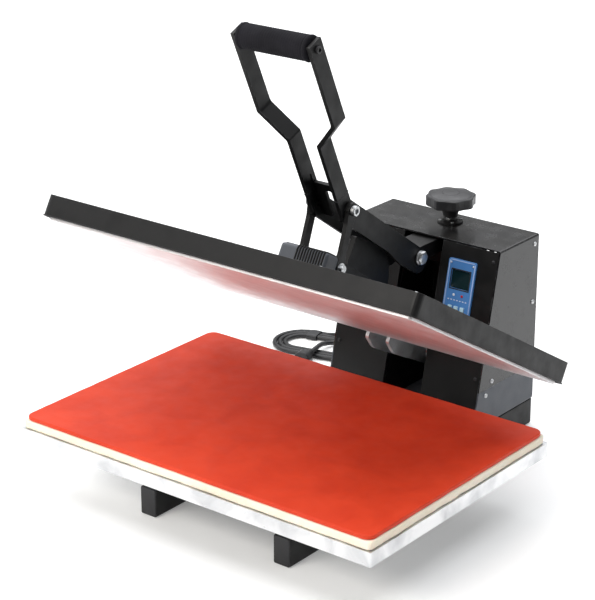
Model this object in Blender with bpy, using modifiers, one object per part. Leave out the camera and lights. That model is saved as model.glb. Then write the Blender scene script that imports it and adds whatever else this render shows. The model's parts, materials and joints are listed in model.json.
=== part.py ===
"""Clamshell heat press: a fixed lower platen with its pads, a heated upper platen on a rear hinge,
a toggle handle, a pressure screw and a sheet-metal housing with the controller.

Metres, +Z up, +Y to the back, X = 0 on the plane of symmetry, Z = 0 on the bench.
The rest pose is the open press."""
from math import acos, atan2, ceil, cos, pi, radians, sin, tan

import bmesh
import bpy
from mathutils import Matrix, Vector

# ---- Driving dimensions ------------------------------------------------------------------------
MM = 0.001
GAP = 0.3 * MM                     # between touching pieces
RUNNING = 0.4 * MM                 # radial clearance of a turning fit
SIDES = 28                         # facets round a turned piece

# lower platen and its supports
BED_WIDTH = 600 * MM
BED_DEPTH = 408 * MM
BED_CORNER = 3 * MM
FOAM_CORNER = 6 * MM
SILICONE_CORNER = 14 * MM
BED_PLATE = 20 * MM
FOAM = 11.7 * MM
SILICONE = 6 * MM
PAD_TOP_Z = 119 * MM
RAIL_WIDTH = 27 * MM
RAIL_HEIGHT = 42 * MM
RAIL_WALL = 2 * MM
RAIL_CENTRE_X = 116.5 * MM
RAIL_SETBACK = 57 * MM             # rail's front end behind the lower platen's front edge
CROSS_WIDTH = 40 * MM
CROSS_INSET = 95 * MM

# upper platen
HEAD_WIDTH = BED_WIDTH + 20 * MM
HEAD_DEPTH = BED_DEPTH + 6 * MM
HEAD_CORNER = 9 * MM
COVER_BASE = 2.5 * MM              # lower edge of the cover above the heating face's plane
COVER_TOP = 33 * MM
COVER_WALL = 1.6 * MM
HEAT_PLATE_WIDTH = HEAD_WIDTH - 16 * MM
HEAT_PLATE_DEPTH = HEAD_DEPTH - 14 * MM
HEAT_PLATE = 14 * MM
HEAT_FACE = -0.5 * MM
CLOSED_LIFT = 1.0 * MM             # the platen's zero plane above the pad when closed
FRONT_OVERHANG = 3 * MM
OPEN_ANGLE = radians(30.3)
HINGE_BEHIND = 118.4 * MM          # hinge axis behind the upper platen's rear edge
HINGE_UP = 7.5 * MM                # and above its zero plane

# toggle: fixed pivot C on the pressure block, knee A, link pin B on the upper platen
PIVOT_AHEAD = 45 * MM              # C ahead of the main hinge
PIVOT_UP = 159 * MM                # and above it
LINK_PIN_FROM_REAR = 192 * MM
LINK_PIN_UP = 58 * MM
ARM_LENGTH = 206 * MM
PIN_RADIUS = 6 * MM
HINGE_SHAFT_RADIUS = 8 * MM

# layers across the width
SPINE_HALF = 4 * MM
BRACKET_INNER = 9 * MM
BRACKET_THICK = 5.6 * MM
LAYER_GAP = 0.6 * MM
LINK_THICK = 6.4 * MM
ARM_THICK = 6 * MM
SLOT_HALF = 34 * MM
CHEEK_INNER = 37 * MM
CHEEK_THICK = 8 * MM

# handle
HANDLE_LEAN = radians(24.6)        # forward of vertical when open
BAR_WIDTH = 25 * MM
BAR_OFFSET = -4 * MM               # bar's centre line ahead of the knee
BAR_JOINT = 26 * MM                # distances along the bar from the knee
BAR_KNEE_LOW = 120 * MM
BAR_KNEE_HIGH = 161 * MM
BAR_TOP = 289 * MM
BAR_SPREAD = 62 * MM               # middle of the upper bars
GRIP_AT = 278 * MM
GRIP_RADIUS = 18 * MM
GRIP_ROD_RADIUS = 8 * MM

# housing
HOUSING_WIDTH = 264 * MM
HOUSING_TOP_ABOVE_PAD = 184 * MM
HOUSING_TOP_DEPTH = 102 * MM
HOUSING_BEHIND_BED = 231 * MM      # housing's back behind the lower platen's rear edge
HOUSING_LEAN = radians(12.6)
SHEET = 2 * MM
SKIRT_Z = 99 * MM                  # seam between the cover and the lower side panels

# pressure screw and knob
SCREW_RADIUS = 7 * MM
SCREW_BEHIND_FRONT = 66 * MM
BUSH_RADIUS = 11.5 * MM
BUSH_HEIGHT = 5 * MM
KNOB_RADIUS = 37.5 * MM
KNOB_LOBES = 8
KNOB_UNDER = 27 * MM               # underside of the knob's head above the housing
KNOB_HEAD = 15 * MM
KNOB_HUB_RADIUS = 14 * MM
LUG_HALF = 21 * MM
LUG_HEIGHT = 22 * MM
PRESSURE_TRAVEL = 2.5 * MM

# controller
PANEL_WIDTH = 47 * MM
PANEL_HEIGHT = 86 * MM
PANEL_X = 74 * MM
PANEL_CENTRE_UP = 118 * MM         # centre above the pad's level
BUTTON = 6.4 * MM
BUTTON_PITCH = 10.5 * MM
BUTTON_PROUD = 2 * MM

# back panel: vents, power switch and cable gland
VENTS = 10
VENT_PITCH = 13 * MM
VENT_WIDTH = 5 * MM
VENT_LOW = 70 * MM                 # slots' ends below the roof
VENT_HIGH = 30 * MM
SWITCH_X = 55 * MM
SWITCH_Z = 95 * MM
SWITCH_HALF = 14 * MM
SWITCH_HALF_HEIGHT = 11 * MM
ROCKER_DEPTH = 3 * MM
ROCKER_TILT = radians(8)
GLAND_X = -80 * MM
GLAND_Z = 72 * MM
GLAND_THREAD = 6.5 * MM
GLAND_NUT = 10 * MM
GLAND_LENGTH = 18 * MM

# mains cord
CORD_RADIUS = 4 * MM
HANK_CENTRE = Vector((-290 * MM, 362 * MM, 0))
HANK_LENGTH = 190 * MM
HANK_WIDTH = 104 * MM
HANK_HEIGHT = 26 * MM
HANK_TURN = radians(12)

# ---- Derived places ----------------------------------------------------------------------------
PRESS_DEPTH = BED_DEPTH + HOUSING_BEHIND_BED
FRONT_Y = -PRESS_DEPTH / 2
BACK_Y = PRESS_DEPTH / 2
BED_REAR_Y = FRONT_Y + BED_DEPTH
BED_CENTRE_Y = FRONT_Y + BED_DEPTH / 2
BED_TOP_Z = PAD_TOP_Z - SILICONE - FOAM - 2 * GAP
BED_UNDER_Z = BED_TOP_Z - BED_PLATE
ROOF_Z = PAD_TOP_Z + HOUSING_TOP_ABOVE_PAD
ROOF_FRONT_Y = BACK_Y - HOUSING_TOP_DEPTH

# from the middle outwards: spine, bracket ears, hinge arms, toggle arms, links
HINGE_ARM_INNER = BRACKET_INNER + BRACKET_THICK + LAYER_GAP
ARM_INNER = LUG_HALF + 2 * LAYER_GAP
LINK_INNER = ARM_INNER + ARM_THICK + LAYER_GAP

HEAD_FRONT_CLOSED_Y = FRONT_Y - FRONT_OVERHANG
HINGE = Vector((0, HEAD_FRONT_CLOSED_Y + HEAD_DEPTH + HINGE_BEHIND,
                PAD_TOP_Z + CLOSED_LIFT + HINGE_UP))
PIVOT_C = HINGE + Vector((0, -PIVOT_AHEAD, PIVOT_UP))

# the upper platen's own frame: x across, y from its front edge to the back, z up
HEAD_CLOSED = Matrix.Translation((0, HEAD_FRONT_CLOSED_Y, PAD_TOP_Z + CLOSED_LIFT))
HEAD_OPEN = (Matrix.Translation(HINGE) @ Matrix.Rotation(-OPEN_ANGLE, 4, 'X')
             @ Matrix.Translation(-HINGE) @ HEAD_CLOSED)
LINK_PIN = Vector((0, HEAD_DEPTH - LINK_PIN_FROM_REAR, LINK_PIN_UP))
PIN_B = HEAD_OPEN @ LINK_PIN
PIN_B_CLOSED = HEAD_CLOSED @ LINK_PIN
# closed, the arm and the link lie in one line
LINK_LENGTH = (PIN_B_CLOSED - PIVOT_C).length - ARM_LENGTH


def knee(from_c, to_b):
    """The upper meeting point of the arm's circle about C and the link's circle about B."""
    span = to_b - from_c
    reach = span.length
    along = (ARM_LENGTH ** 2 - LINK_LENGTH ** 2 + reach ** 2) / (2 * reach)
    side = max(ARM_LENGTH ** 2 - along ** 2, 0) ** 0.5
    unit = span / reach
    return from_c + unit * along + Vector((0, -unit.z, unit.y)) * -side


KNEE_A = knee(PIVOT_C, PIN_B)
BAR_DIRECTION = Vector((0, -sin(HANDLE_LEAN), cos(HANDLE_LEAN)))
BAR_SIDE = Vector((0, cos(HANDLE_LEAN), sin(HANDLE_LEAN)))


def handle_point(along, across=0.0):
    """A point of the handle's side plane: along the bar from the knee, and across it to the back."""
    return KNEE_A + BAR_DIRECTION * along + BAR_SIDE * across


# ---- Scene and materials -----------------------------------------------------------------------
for old in list(bpy.data.objects):
    bpy.data.objects.remove(old, do_unlink=True)

PARTS = bpy.data.collections.new("heat_press")
CUTTERS = bpy.data.collections.new("cutters")
bpy.context.scene.collection.children.link(PARTS)
bpy.context.scene.collection.children.link(CUTTERS)


def material(name, colour, roughness, metallic=0.0):
    mat = bpy.data.materials.new(name)
    mat.use_nodes = True
    shader = mat.node_tree.nodes["Principled BSDF"]
    shader.inputs["Base Color"].default_value = (*colour, 1)
    shader.inputs["Roughness"].default_value = roughness
    shader.inputs["Metallic"].default_value = metallic
    return mat


BLACK = material("black_powder_coat", (0.012, 0.012, 0.013), 0.45)
GREY = material("grey_powder_coat", (0.09, 0.095, 0.11), 0.5)
STEEL = material("zinc_plated_steel", (0.55, 0.55, 0.56), 0.35, 1.0)
ALUMINIUM = material("aluminium", (0.75, 0.75, 0.76), 0.25, 1.0)
FOAM_WHITE = material("cream_foam", (0.85, 0.78, 0.66), 0.9)
RED_SILICONE = material("red_silicone", (0.72, 0.12, 0.035), 0.55)
BLACK_PLASTIC = material("black_plastic", (0.02, 0.02, 0.022), 0.5)
GRIP_FOAM = material("grip_foam", (0.015, 0.014, 0.02), 0.85)
BLUE = material("blue_panel", (0.1, 0.27, 0.6), 0.4)
GLASS = material("display", (0.02, 0.06, 0.07), 0.15)
PALE = material("pale_button", (0.6, 0.85, 1.0), 0.4)
WOOL = material("insulation_board", (0.7, 0.66, 0.55), 0.95)


# ---- Shape tools -------------------------------------------------------------------------------
def add_object(name, mesh, mat, collection=None):
    obj = bpy.data.objects.new(name, mesh)
    mesh.materials.clear()
    if mat:
        mesh.materials.append(mat)
    (collection or PARTS).objects.link(obj)
    return obj


def mesh_from(name, source, matrix, mat, collection=None):
    """A curve or a modified object, baked to one welded mesh in world space."""
    bpy.context.view_layer.update()
    shape = source.evaluated_get(bpy.context.evaluated_depsgraph_get())
    mesh = bpy.data.meshes.new_from_object(shape)
    mesh.transform(matrix @ source.matrix_world)
    bm = bmesh.new()
    bm.from_mesh(mesh)
    bmesh.ops.remove_doubles(bm, verts=bm.verts, dist=1e-6)
    bm.to_mesh(mesh)
    bm.free()
    bpy.data.objects.remove(source, do_unlink=True)
    return add_object(name, mesh, mat, collection)


def fillet(points, steps=5):
    """An outline with its corners rounded: each point is (x, y) or (x, y, radius)."""
    result = []
    count = len(points)
    for index, point in enumerate(points):
        here = Vector(point[:2])
        radius = point[2] if len(point) > 2 else 0
        if radius <= 0:
            result.append(here)
            continue
        back = (Vector(points[index - 1][:2]) - here).normalized()
        ahead = (Vector(points[(index + 1) % count][:2]) - here).normalized()
        half = acos(max(-1, min(1, back.dot(ahead)))) / 2
        centre = here + (back + ahead).normalized() * radius / sin(half)
        start = here + back * radius / tan(half) - centre
        end = here + ahead * radius / tan(half) - centre
        sweep = start.angle_signed(end)
        for step in range(steps + 1):
            turn = -sweep * step / steps
            result.append(centre + Matrix.Rotation(turn, 2) @ start)
    return result


def rectangle(x0, y0, x1, y1, radius=0.0):
    return fillet([(x0, y0, radius), (x1, y0, radius), (x1, y1, radius), (x0, y1, radius)])


def circle(x, y, radius, sides=SIDES):
    return [Vector((x + radius * cos(2 * pi * k / sides), y + radius * sin(2 * pi * k / sides)))
            for k in range(sides)]


def plane_yz(x):
    """Outline x -> Y and y -> Z, thickness along X, centred on x."""
    return Matrix.Translation((x, 0, 0)) @ Matrix(((0, 0, 1, 0), (1, 0, 0, 0), (0, 1, 0, 0), (0, 0, 0, 1)))


def plane_xz(y):
    """Outline x -> X and y -> Z, thickness along Y, centred on y."""
    return Matrix.Translation((0, y, 0)) @ Matrix(((1, 0, 0, 0), (0, 0, -1, 0), (0, 1, 0, 0), (0, 0, 0, 1)))


def plane_xy(z):
    return Matrix.Translation((0, 0, z))


def plate(name, outline, thickness, matrix, mat, holes=(), collection=None):
    """A flat outline of even thickness, centred on the matrix's plane."""
    curve = bpy.data.curves.new(name, 'CURVE')
    curve.dimensions = '2D'
    curve.fill_mode = 'BOTH'
    curve.extrude = thickness / 2
    curve.resolution_u = 1
    curve.render_resolution_u = 0
    for loop in (outline, *holes):
        spline = curve.splines.new('POLY')
        spline.points.add(len(loop) - 1)
        for point, corner in zip(spline.points, loop):
            point.co = (corner[0], corner[1], 0, 1)
        spline.use_cyclic_u = True
    source = bpy.data.objects.new(name + "_outline", curve)
    CUTTERS.objects.link(source)
    return mesh_from(name, source, matrix, mat, collection)


def block(name, low, high, mat, matrix=None, collection=None):
    """A box between two corners, in the matrix's frame."""
    low, high = Vector(low), Vector(high)
    bm = bmesh.new()
    bmesh.ops.create_cube(bm, size=1)
    bmesh.ops.scale(bm, vec=high - low, verts=bm.verts)
    bmesh.ops.translate(bm, vec=(low + high) / 2, verts=bm.verts)
    bmesh.ops.transform(bm, matrix=matrix or Matrix(), verts=bm.verts)
    mesh = bpy.data.meshes.new(name)
    bm.to_mesh(mesh)
    bm.free()
    return add_object(name, mesh, mat, collection)


def turned(name, profile, matrix, mat, sides=SIDES, collection=None):
    """A solid of revolution about the matrix's Z axis: (radius, height) pairs, top to bottom."""
    mesh = bpy.data.meshes.new(name)
    points = [(radius, 0, height) for radius, height in profile]
    closed = min(radius for radius, _ in profile) > 0
    edges = [(k, k + 1) for k in range(len(points) - 1)]
    if closed:
        edges.append((len(points) - 1, 0))
    mesh.from_pydata(points, edges, [])
    source = bpy.data.objects.new(name + "_profile", mesh)
    CUTTERS.objects.link(source)
    screw = source.modifiers.new("turn", 'SCREW')
    screw.steps = sides
    screw.render_steps = sides
    screw.use_merge_vertices = True
    screw.merge_threshold = 1e-6
    obj = mesh_from(name, source, matrix, mat, collection)
    obj.data.shade_smooth()
    obj.data.set_sharp_from_angle(angle=radians(35))
    return obj


def along_x(point, sign=1):
    """A frame at the point whose Z axis runs along +X, or -X."""
    return Matrix.Translation(point) @ Matrix.Rotation(sign * pi / 2, 4, 'Y')


def tube(name, points, radius, mat, resolution=2):
    """A round wire or cord through the points."""
    curve = bpy.data.curves.new(name, 'CURVE')
    curve.dimensions = '3D'
    curve.bevel_depth = radius
    curve.bevel_resolution = resolution
    curve.use_fill_caps = True
    curve.render_resolution_u = 0
    spline = curve.splines.new('POLY')
    spline.points.add(len(points) - 1)
    for point, place in zip(spline.points, points):
        point.co = (*place, 1)
    source = bpy.data.objects.new(name + "_path", curve)
    CUTTERS.objects.link(source)
    obj = mesh_from(name, source, Matrix(), mat)
    obj.data.shade_smooth()
    return obj


def smooth_path(corners, pitch):
    """Evenly spaced points on a Catmull-Rom curve through the corners."""
    corners = [Vector(corner) for corner in corners]
    ends = [2 * corners[0] - corners[1], *corners, 2 * corners[-1] - corners[-2]]
    fine = []
    for a, b, c, d in zip(ends, ends[1:], ends[2:], ends[3:]):
        for step in range(24):
            t = step / 24
            fine.append(0.5 * (2 * b + (c - a) * t + (2 * a - 5 * b + 4 * c - d) * t ** 2
                               + (3 * b - a - 3 * c + d) * t ** 3))
    fine.append(corners[-1])
    lengths = [0.0]
    for a, b in zip(fine, fine[1:]):
        lengths.append(lengths[-1] + (b - a).length)
    count = ceil(lengths[-1] / pitch)
    result = []
    index = 0
    for step in range(count + 1):
        target = lengths[-1] * step / count
        while index < len(fine) - 2 and lengths[index + 1] < target:
            index += 1
        share = (target - lengths[index]) / (lengths[index + 1] - lengths[index])
        result.append(fine[index].lerp(fine[index + 1], min(1, share)))
    return result


def boolean(obj, cutter, operation='DIFFERENCE'):
    cutter.hide_render = True
    cutter.display_type = 'WIRE'
    cut = obj.modifiers.new(operation.lower(), 'BOOLEAN')
    cut.operation = operation
    cut.solver = 'EXACT'
    cut.object = cutter
    return obj


def bevel(obj, width, segments=2, angle=35):
    edge = obj.modifiers.new("edges", 'BEVEL')
    edge.width = width
    edge.segments = segments
    edge.limit_method = 'ANGLE'
    edge.angle_limit = radians(angle)
    return obj


def both_sides(make):
    """Build a left and a right piece: make(name suffix, sign)."""
    for side, sign in (("left", -1), ("right", 1)):
        make(side, sign)


# ---- Base and lower platen ---------------------------------------------------------------------
def build_base():
    rail_front = FRONT_Y + RAIL_SETBACK

    def rail(side, sign):
        x = sign * RAIL_CENTRE_X
        outer = rectangle(x - RAIL_WIDTH / 2, 0, x + RAIL_WIDTH / 2, RAIL_HEIGHT, 3 * MM)
        inner = rectangle(x - RAIL_WIDTH / 2 + RAIL_WALL, RAIL_WALL,
                          x + RAIL_WIDTH / 2 - RAIL_WALL, RAIL_HEIGHT - RAIL_WALL, 1.5 * MM)
        plate("base_rail_" + side, outer, BACK_Y - rail_front, plane_xz((rail_front + BACK_Y) / 2), BLACK, [inner])

    both_sides(rail)

    half = RAIL_CENTRE_X + RAIL_WIDTH / 2 + 5 * MM
    low = RAIL_HEIGHT + GAP
    high = BED_UNDER_Z - GAP
    for place, y in (("front", FRONT_Y + CROSS_INSET), ("rear", BED_REAR_Y - CROSS_INSET)):
        outer = rectangle(y - CROSS_WIDTH / 2, low, y + CROSS_WIDTH / 2, high, 3 * MM)
        inner = rectangle(y - CROSS_WIDTH / 2 + RAIL_WALL, low + RAIL_WALL,
                          y + CROSS_WIDTH / 2 - RAIL_WALL, high - RAIL_WALL, 1.5 * MM)
        plate("bed_support_" + place, outer, 2 * half, plane_yz(0), BLACK, [inner])

    def layer(name, inset, corner, low_z, thickness, mat, edge):
        outline = fillet([(sx * (BED_WIDTH / 2 - inset), BED_CENTRE_Y + sy * (BED_DEPTH / 2 - inset),
                           corner) for sx, sy in ((-1, -1), (1, -1), (1, 1), (-1, 1))], 8)
        bevel(plate(name, outline, thickness, plane_xy(low_z + thickness / 2), mat), edge, 1, 60)

    layer("lower_platen", 0, BED_CORNER, BED_UNDER_Z, BED_PLATE, ALUMINIUM, 0.8 * MM)
    layer("foam_pad", 2 * MM, FOAM_CORNER, BED_TOP_Z + GAP, FOAM, FOAM_WHITE, 1 * MM)
    layer("silicone_pad", 4 * MM, SILICONE_CORNER, PAD_TOP_Z - SILICONE, SILICONE, RED_SILICONE, 1 * MM)


# ---- Column: base plate, cheeks, bridge, hinge shaft, springs --------------------------------------
def front_y(z):
    """Outer face of the inclined front at a height."""
    return ROOF_FRONT_Y - (ROOF_Z - z) * tan(HOUSING_LEAN)


COLUMN_BASE_TOP = RAIL_HEIGHT + GAP + SHEET
BRIDGE_TOP = ROOF_Z - 20 * MM
BRIDGE_THICK = 10 * MM
SCREW_Y = ROOF_FRONT_Y + SCREW_BEHIND_FRONT
CHEEK_FRONT_INSET = 9 * MM
CHEEK_BACK = BACK_Y - 16 * MM
BLOCK_HALF_DEPTH = 18 * MM


def build_column():
    foot = COLUMN_BASE_TOP + GAP
    top = BRIDGE_TOP - BRIDGE_THICK - GAP
    outline = fillet([(front_y(foot) + CHEEK_FRONT_INSET, foot), (CHEEK_BACK, foot), (CHEEK_BACK, top, 8 * MM),
                      (front_y(top) + CHEEK_FRONT_INSET + 6 * MM, top, 8 * MM)])
    shaft_hole = circle(HINGE.y, HINGE.z, HINGE_SHAFT_RADIUS + RUNNING)

    def cheek(side, sign):
        plate("cheek_plate_" + side, outline, CHEEK_THICK, plane_yz(sign * (CHEEK_INNER + CHEEK_THICK / 2)),
              BLACK, [shaft_hole])

    both_sides(cheek)

    outer_x = CHEEK_INNER + CHEEK_THICK
    bridge = rectangle(-outer_x, SCREW_Y - BLOCK_HALF_DEPTH + 3 * MM, outer_x, CHEEK_BACK, 4 * MM)
    plate("bridge_plate", bridge, BRIDGE_THICK, plane_xy(BRIDGE_TOP - BRIDGE_THICK / 2), BLACK,
          [circle(0, SCREW_Y, SCREW_RADIUS + RUNNING)])
    tie = rectangle(-CHEEK_INNER + GAP, foot + 8 * MM, CHEEK_INNER - GAP, top - 40 * MM, 3 * MM)
    plate("rear_tie_plate", tie, 6 * MM, plane_xz(CHEEK_BACK - 5 * MM), BLACK,
          [circle(0, HINGE.z, 12 * MM)])

    # headed at both ends, outside the cheeks
    inside = outer_x + GAP
    end = inside + 7 * MM
    head = 13 * MM
    chamfer = 1.5 * MM
    shaft = [(0, end), (head - chamfer, end), (head, end - chamfer), (head, inside), (HINGE_SHAFT_RADIUS, inside),
             (HINGE_SHAFT_RADIUS, -inside), (head, -inside), (head, -end + chamfer), (head - chamfer, -end), (0, -end)]
    turned("hinge_shaft", shaft, along_x(HINGE), STEEL)


# ---- Pressure screw, block and knob ------------------------------------------------------------
def build_pressure():
    lug_low = PIVOT_C.z - LUG_HEIGHT / 2
    lug_high = PIVOT_C.z + LUG_HEIGHT / 2
    block_front = SCREW_Y - BLOCK_HALF_DEPTH
    block_low = lug_low - 26 * MM
    nose = LUG_HEIGHT / 2 - 0.1 * MM
    web_front = block_front - 14 * MM
    # a nose that carries the fixed pivot, on a web bolted to the front of the block
    lug = fillet([(PIVOT_C.y - LUG_HEIGHT / 2, lug_low, nose), (web_front, lug_low, 4 * MM), (web_front, block_low),
                  (block_front - GAP, block_low), (block_front - GAP, lug_high),
                  (PIVOT_C.y - LUG_HEIGHT / 2, lug_high, nose)], 8)
    plate("pivot_lug", lug, 2 * LUG_HALF, plane_yz(0), BLACK, [circle(PIVOT_C.y, PIVOT_C.z, PIN_RADIUS + GAP)])

    block_top = BRIDGE_TOP - BRIDGE_THICK - PRESSURE_TRAVEL - 1 * MM
    body = rectangle(-CHEEK_INNER + 0.5 * MM, block_front, CHEEK_INNER - 0.5 * MM, SCREW_Y + BLOCK_HALF_DEPTH, 2 * MM)
    plate("pressure_block", body, block_top - block_low, plane_xy((block_top + block_low) / 2), STEEL,
          [circle(0, SCREW_Y, SCREW_RADIUS + RUNNING)])

    pin_half = ARM_INNER + ARM_THICK + 3 * MM
    head = 9.5 * MM
    pin = [(0, pin_half + 5 * MM), (head - 1 * MM, pin_half + 5 * MM), (head, pin_half + 4 * MM),
           (head, pin_half - 2 * MM), (PIN_RADIUS, pin_half - 2 * MM), (PIN_RADIUS, -pin_half + 2 * MM),
           (head, -pin_half + 2 * MM), (head, -pin_half - 4 * MM), (head - 1 * MM, -pin_half - 5 * MM),
           (0, -pin_half - 5 * MM)]
    turned("fixed_pivot_bolt", pin, along_x(PIVOT_C), STEEL)

    screw_place = Matrix.Translation((0, SCREW_Y, 0))
    screw_low = block_low - 8 * MM
    screw_top = ROOF_Z + KNOB_UNDER - 4 * MM
    screw = [(0, screw_top), (SCREW_RADIUS, screw_top), (SCREW_RADIUS, screw_low + 1 * MM),
             (SCREW_RADIUS - 1 * MM, screw_low), (0, screw_low)]
    turned("pressure_screw", screw, screw_place, STEEL)

    bush_low = ROOF_Z + GAP
    bush = [(SCREW_RADIUS + RUNNING, bush_low + BUSH_HEIGHT), (BUSH_RADIUS - 1 * MM, bush_low + BUSH_HEIGHT),
            (BUSH_RADIUS, bush_low + BUSH_HEIGHT - 1 * MM), (BUSH_RADIUS, bush_low), (SCREW_RADIUS + RUNNING, bush_low)]
    turned("screw_bush", bush, screw_place, BLACK)

    # lobed head on a stepped hub, bored from below for the screw
    under = ROOF_Z + KNOB_UNDER
    hub_low = bush_low + BUSH_HEIGHT + PRESSURE_TRAVEL + 1 * MM
    head_outline = []
    per_lobe = 6
    for k in range(KNOB_LOBES * per_lobe):
        turn = 2 * pi * k / (KNOB_LOBES * per_lobe)
        radius = KNOB_RADIUS - 1.6 * MM * (1 - cos(KNOB_LOBES * turn))
        head_outline.append(Vector((radius * cos(turn), SCREW_Y + radius * sin(turn))))
    knob = plate("pressure_knob", head_outline, KNOB_HEAD, plane_xy(under + KNOB_HEAD / 2), BLACK_PLASTIC)
    bevel(knob, 2.5 * MM, 1, 60)
    hub_top = under + 4 * MM
    hub = turned("knob_hub_shape", [(0, hub_top), (KNOB_HUB_RADIUS, hub_top), (KNOB_HUB_RADIUS, under - 3 * MM),
                                    (BUSH_RADIUS - 1 * MM, hub_low), (0, hub_low)],
                 screw_place, None, collection=CUTTERS)
    bore = turned("knob_bore_shape", [(0, screw_top + GAP), (SCREW_RADIUS + GAP, screw_top + GAP),
                                      (SCREW_RADIUS + GAP, hub_low - 5 * MM), (0, hub_low - 5 * MM)],
                  screw_place, None, collection=CUTTERS)
    boolean(knob, hub, 'UNION')
    boolean(knob, bore)


# ---- Housing -----------------------------------------------------------------------------------
def lean_frame(x, up_pad):
    """A frame on the inclined front: x across, y up the slope, z outwards."""
    z = PAD_TOP_Z + up_pad
    return Matrix.Translation((x, front_y(z), z)) @ Matrix.Rotation(pi / 2 - HOUSING_LEAN, 4, 'X')


def front_cutter(name):
    """A wedge that takes away all that lies ahead of the inclined front."""
    reach = 2 * HOUSING_TOP_ABOVE_PAD + HOUSING_WIDTH
    return block(name, (-reach, -reach, 0), (reach, reach, reach), None, lean_frame(0, 0), CUTTERS)


def build_housing():
    half = HOUSING_WIDTH / 2
    inner = half - SHEET
    skirt = SKIRT_Z
    arch = fillet([(-half, skirt), (-half, ROOF_Z, 3 * MM), (half, ROOF_Z, 3 * MM), (half, skirt), (inner, skirt),
                   (inner, ROOF_Z - SHEET, 1 * MM), (-inner, ROOF_Z - SHEET, 1 * MM), (-inner, skirt)], 3)
    reach_front = front_y(skirt) - 10 * MM
    cover = plate("housing_cover", arch, BACK_Y - reach_front, plane_xz((BACK_Y + reach_front) / 2), BLACK)
    boolean(cover, front_cutter("front_wedge"))
    boolean(cover, turned("roof_hole", [(0, ROOF_Z + 9 * MM), (SCREW_RADIUS + 1.5 * MM, ROOF_Z + 9 * MM),
                                        (SCREW_RADIUS + 1.5 * MM, ROOF_Z - 9 * MM), (0, ROOF_Z - 9 * MM)],
                          Matrix.Translation((0, SCREW_Y, 0)), None, collection=CUTTERS))

    # lower housing: a tray on the rails with two upturned sides
    low = RAIL_HEIGHT + GAP
    high = skirt - GAP
    tray = fillet([(-half, high), (-half, low, 3 * MM), (half, low, 3 * MM), (half, high), (inner, high),
                   (inner, low + SHEET, 1 * MM), (-inner, low + SHEET, 1 * MM), (-inner, high)], 3)
    reach_front = front_y(low) - 10 * MM
    lower = plate("lower_housing", tray, BACK_Y - reach_front, plane_xz((BACK_Y + reach_front) / 2), GREY)
    boolean(lower, front_cutter("lower_front_wedge"))

    # inclined front in two halves, either side of the slot that the arms come out of
    slope = 1 / cos(HOUSING_LEAN)
    bottom = (COLUMN_BASE_TOP + 1 * MM - PAD_TOP_Z) * slope
    top = (HOUSING_TOP_ABOVE_PAD - SHEET - 1 * MM) * slope
    edge = inner - GAP
    place = lean_frame(0, 0) @ plane_xy(-SHEET / 2)
    centre = PANEL_CENTRE_UP * slope
    window = rectangle(PANEL_X - PANEL_WIDTH / 2 + 3 * MM, centre - PANEL_HEIGHT / 2 + 3 * MM,
                       PANEL_X + PANEL_WIDTH / 2 - 3 * MM, centre + PANEL_HEIGHT / 2 - 3 * MM, 2 * MM)
    plate("front_panel_left", rectangle(-edge, bottom, -SLOT_HALF, top), SHEET, place, BLACK)
    plate("front_panel_right", rectangle(SLOT_HALF, bottom, edge, top), SHEET, place, BLACK, [window])

    back_low = COLUMN_BASE_TOP + GAP
    back = rectangle(-edge, back_low, edge, ROOF_Z - SHEET - GAP)
    vents = []
    for k in range(VENTS):
        x = VENT_PITCH * (k - (VENTS - 1) / 2)
        vents.append(rectangle(x - VENT_WIDTH / 2, ROOF_Z - VENT_LOW, x + VENT_WIDTH / 2, ROOF_Z - VENT_HIGH))
    switch = rectangle(SWITCH_X - SWITCH_HALF, SWITCH_Z - SWITCH_HALF_HEIGHT,
                       SWITCH_X + SWITCH_HALF, SWITCH_Z + SWITCH_HALF_HEIGHT, 1 * MM)
    holes = [*vents, switch, circle(GLAND_X, GLAND_Z, GLAND_THREAD + GAP)]
    plate("back_panel", back, SHEET, plane_xz(BACK_Y - SHEET / 2), BLACK, holes)


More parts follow.
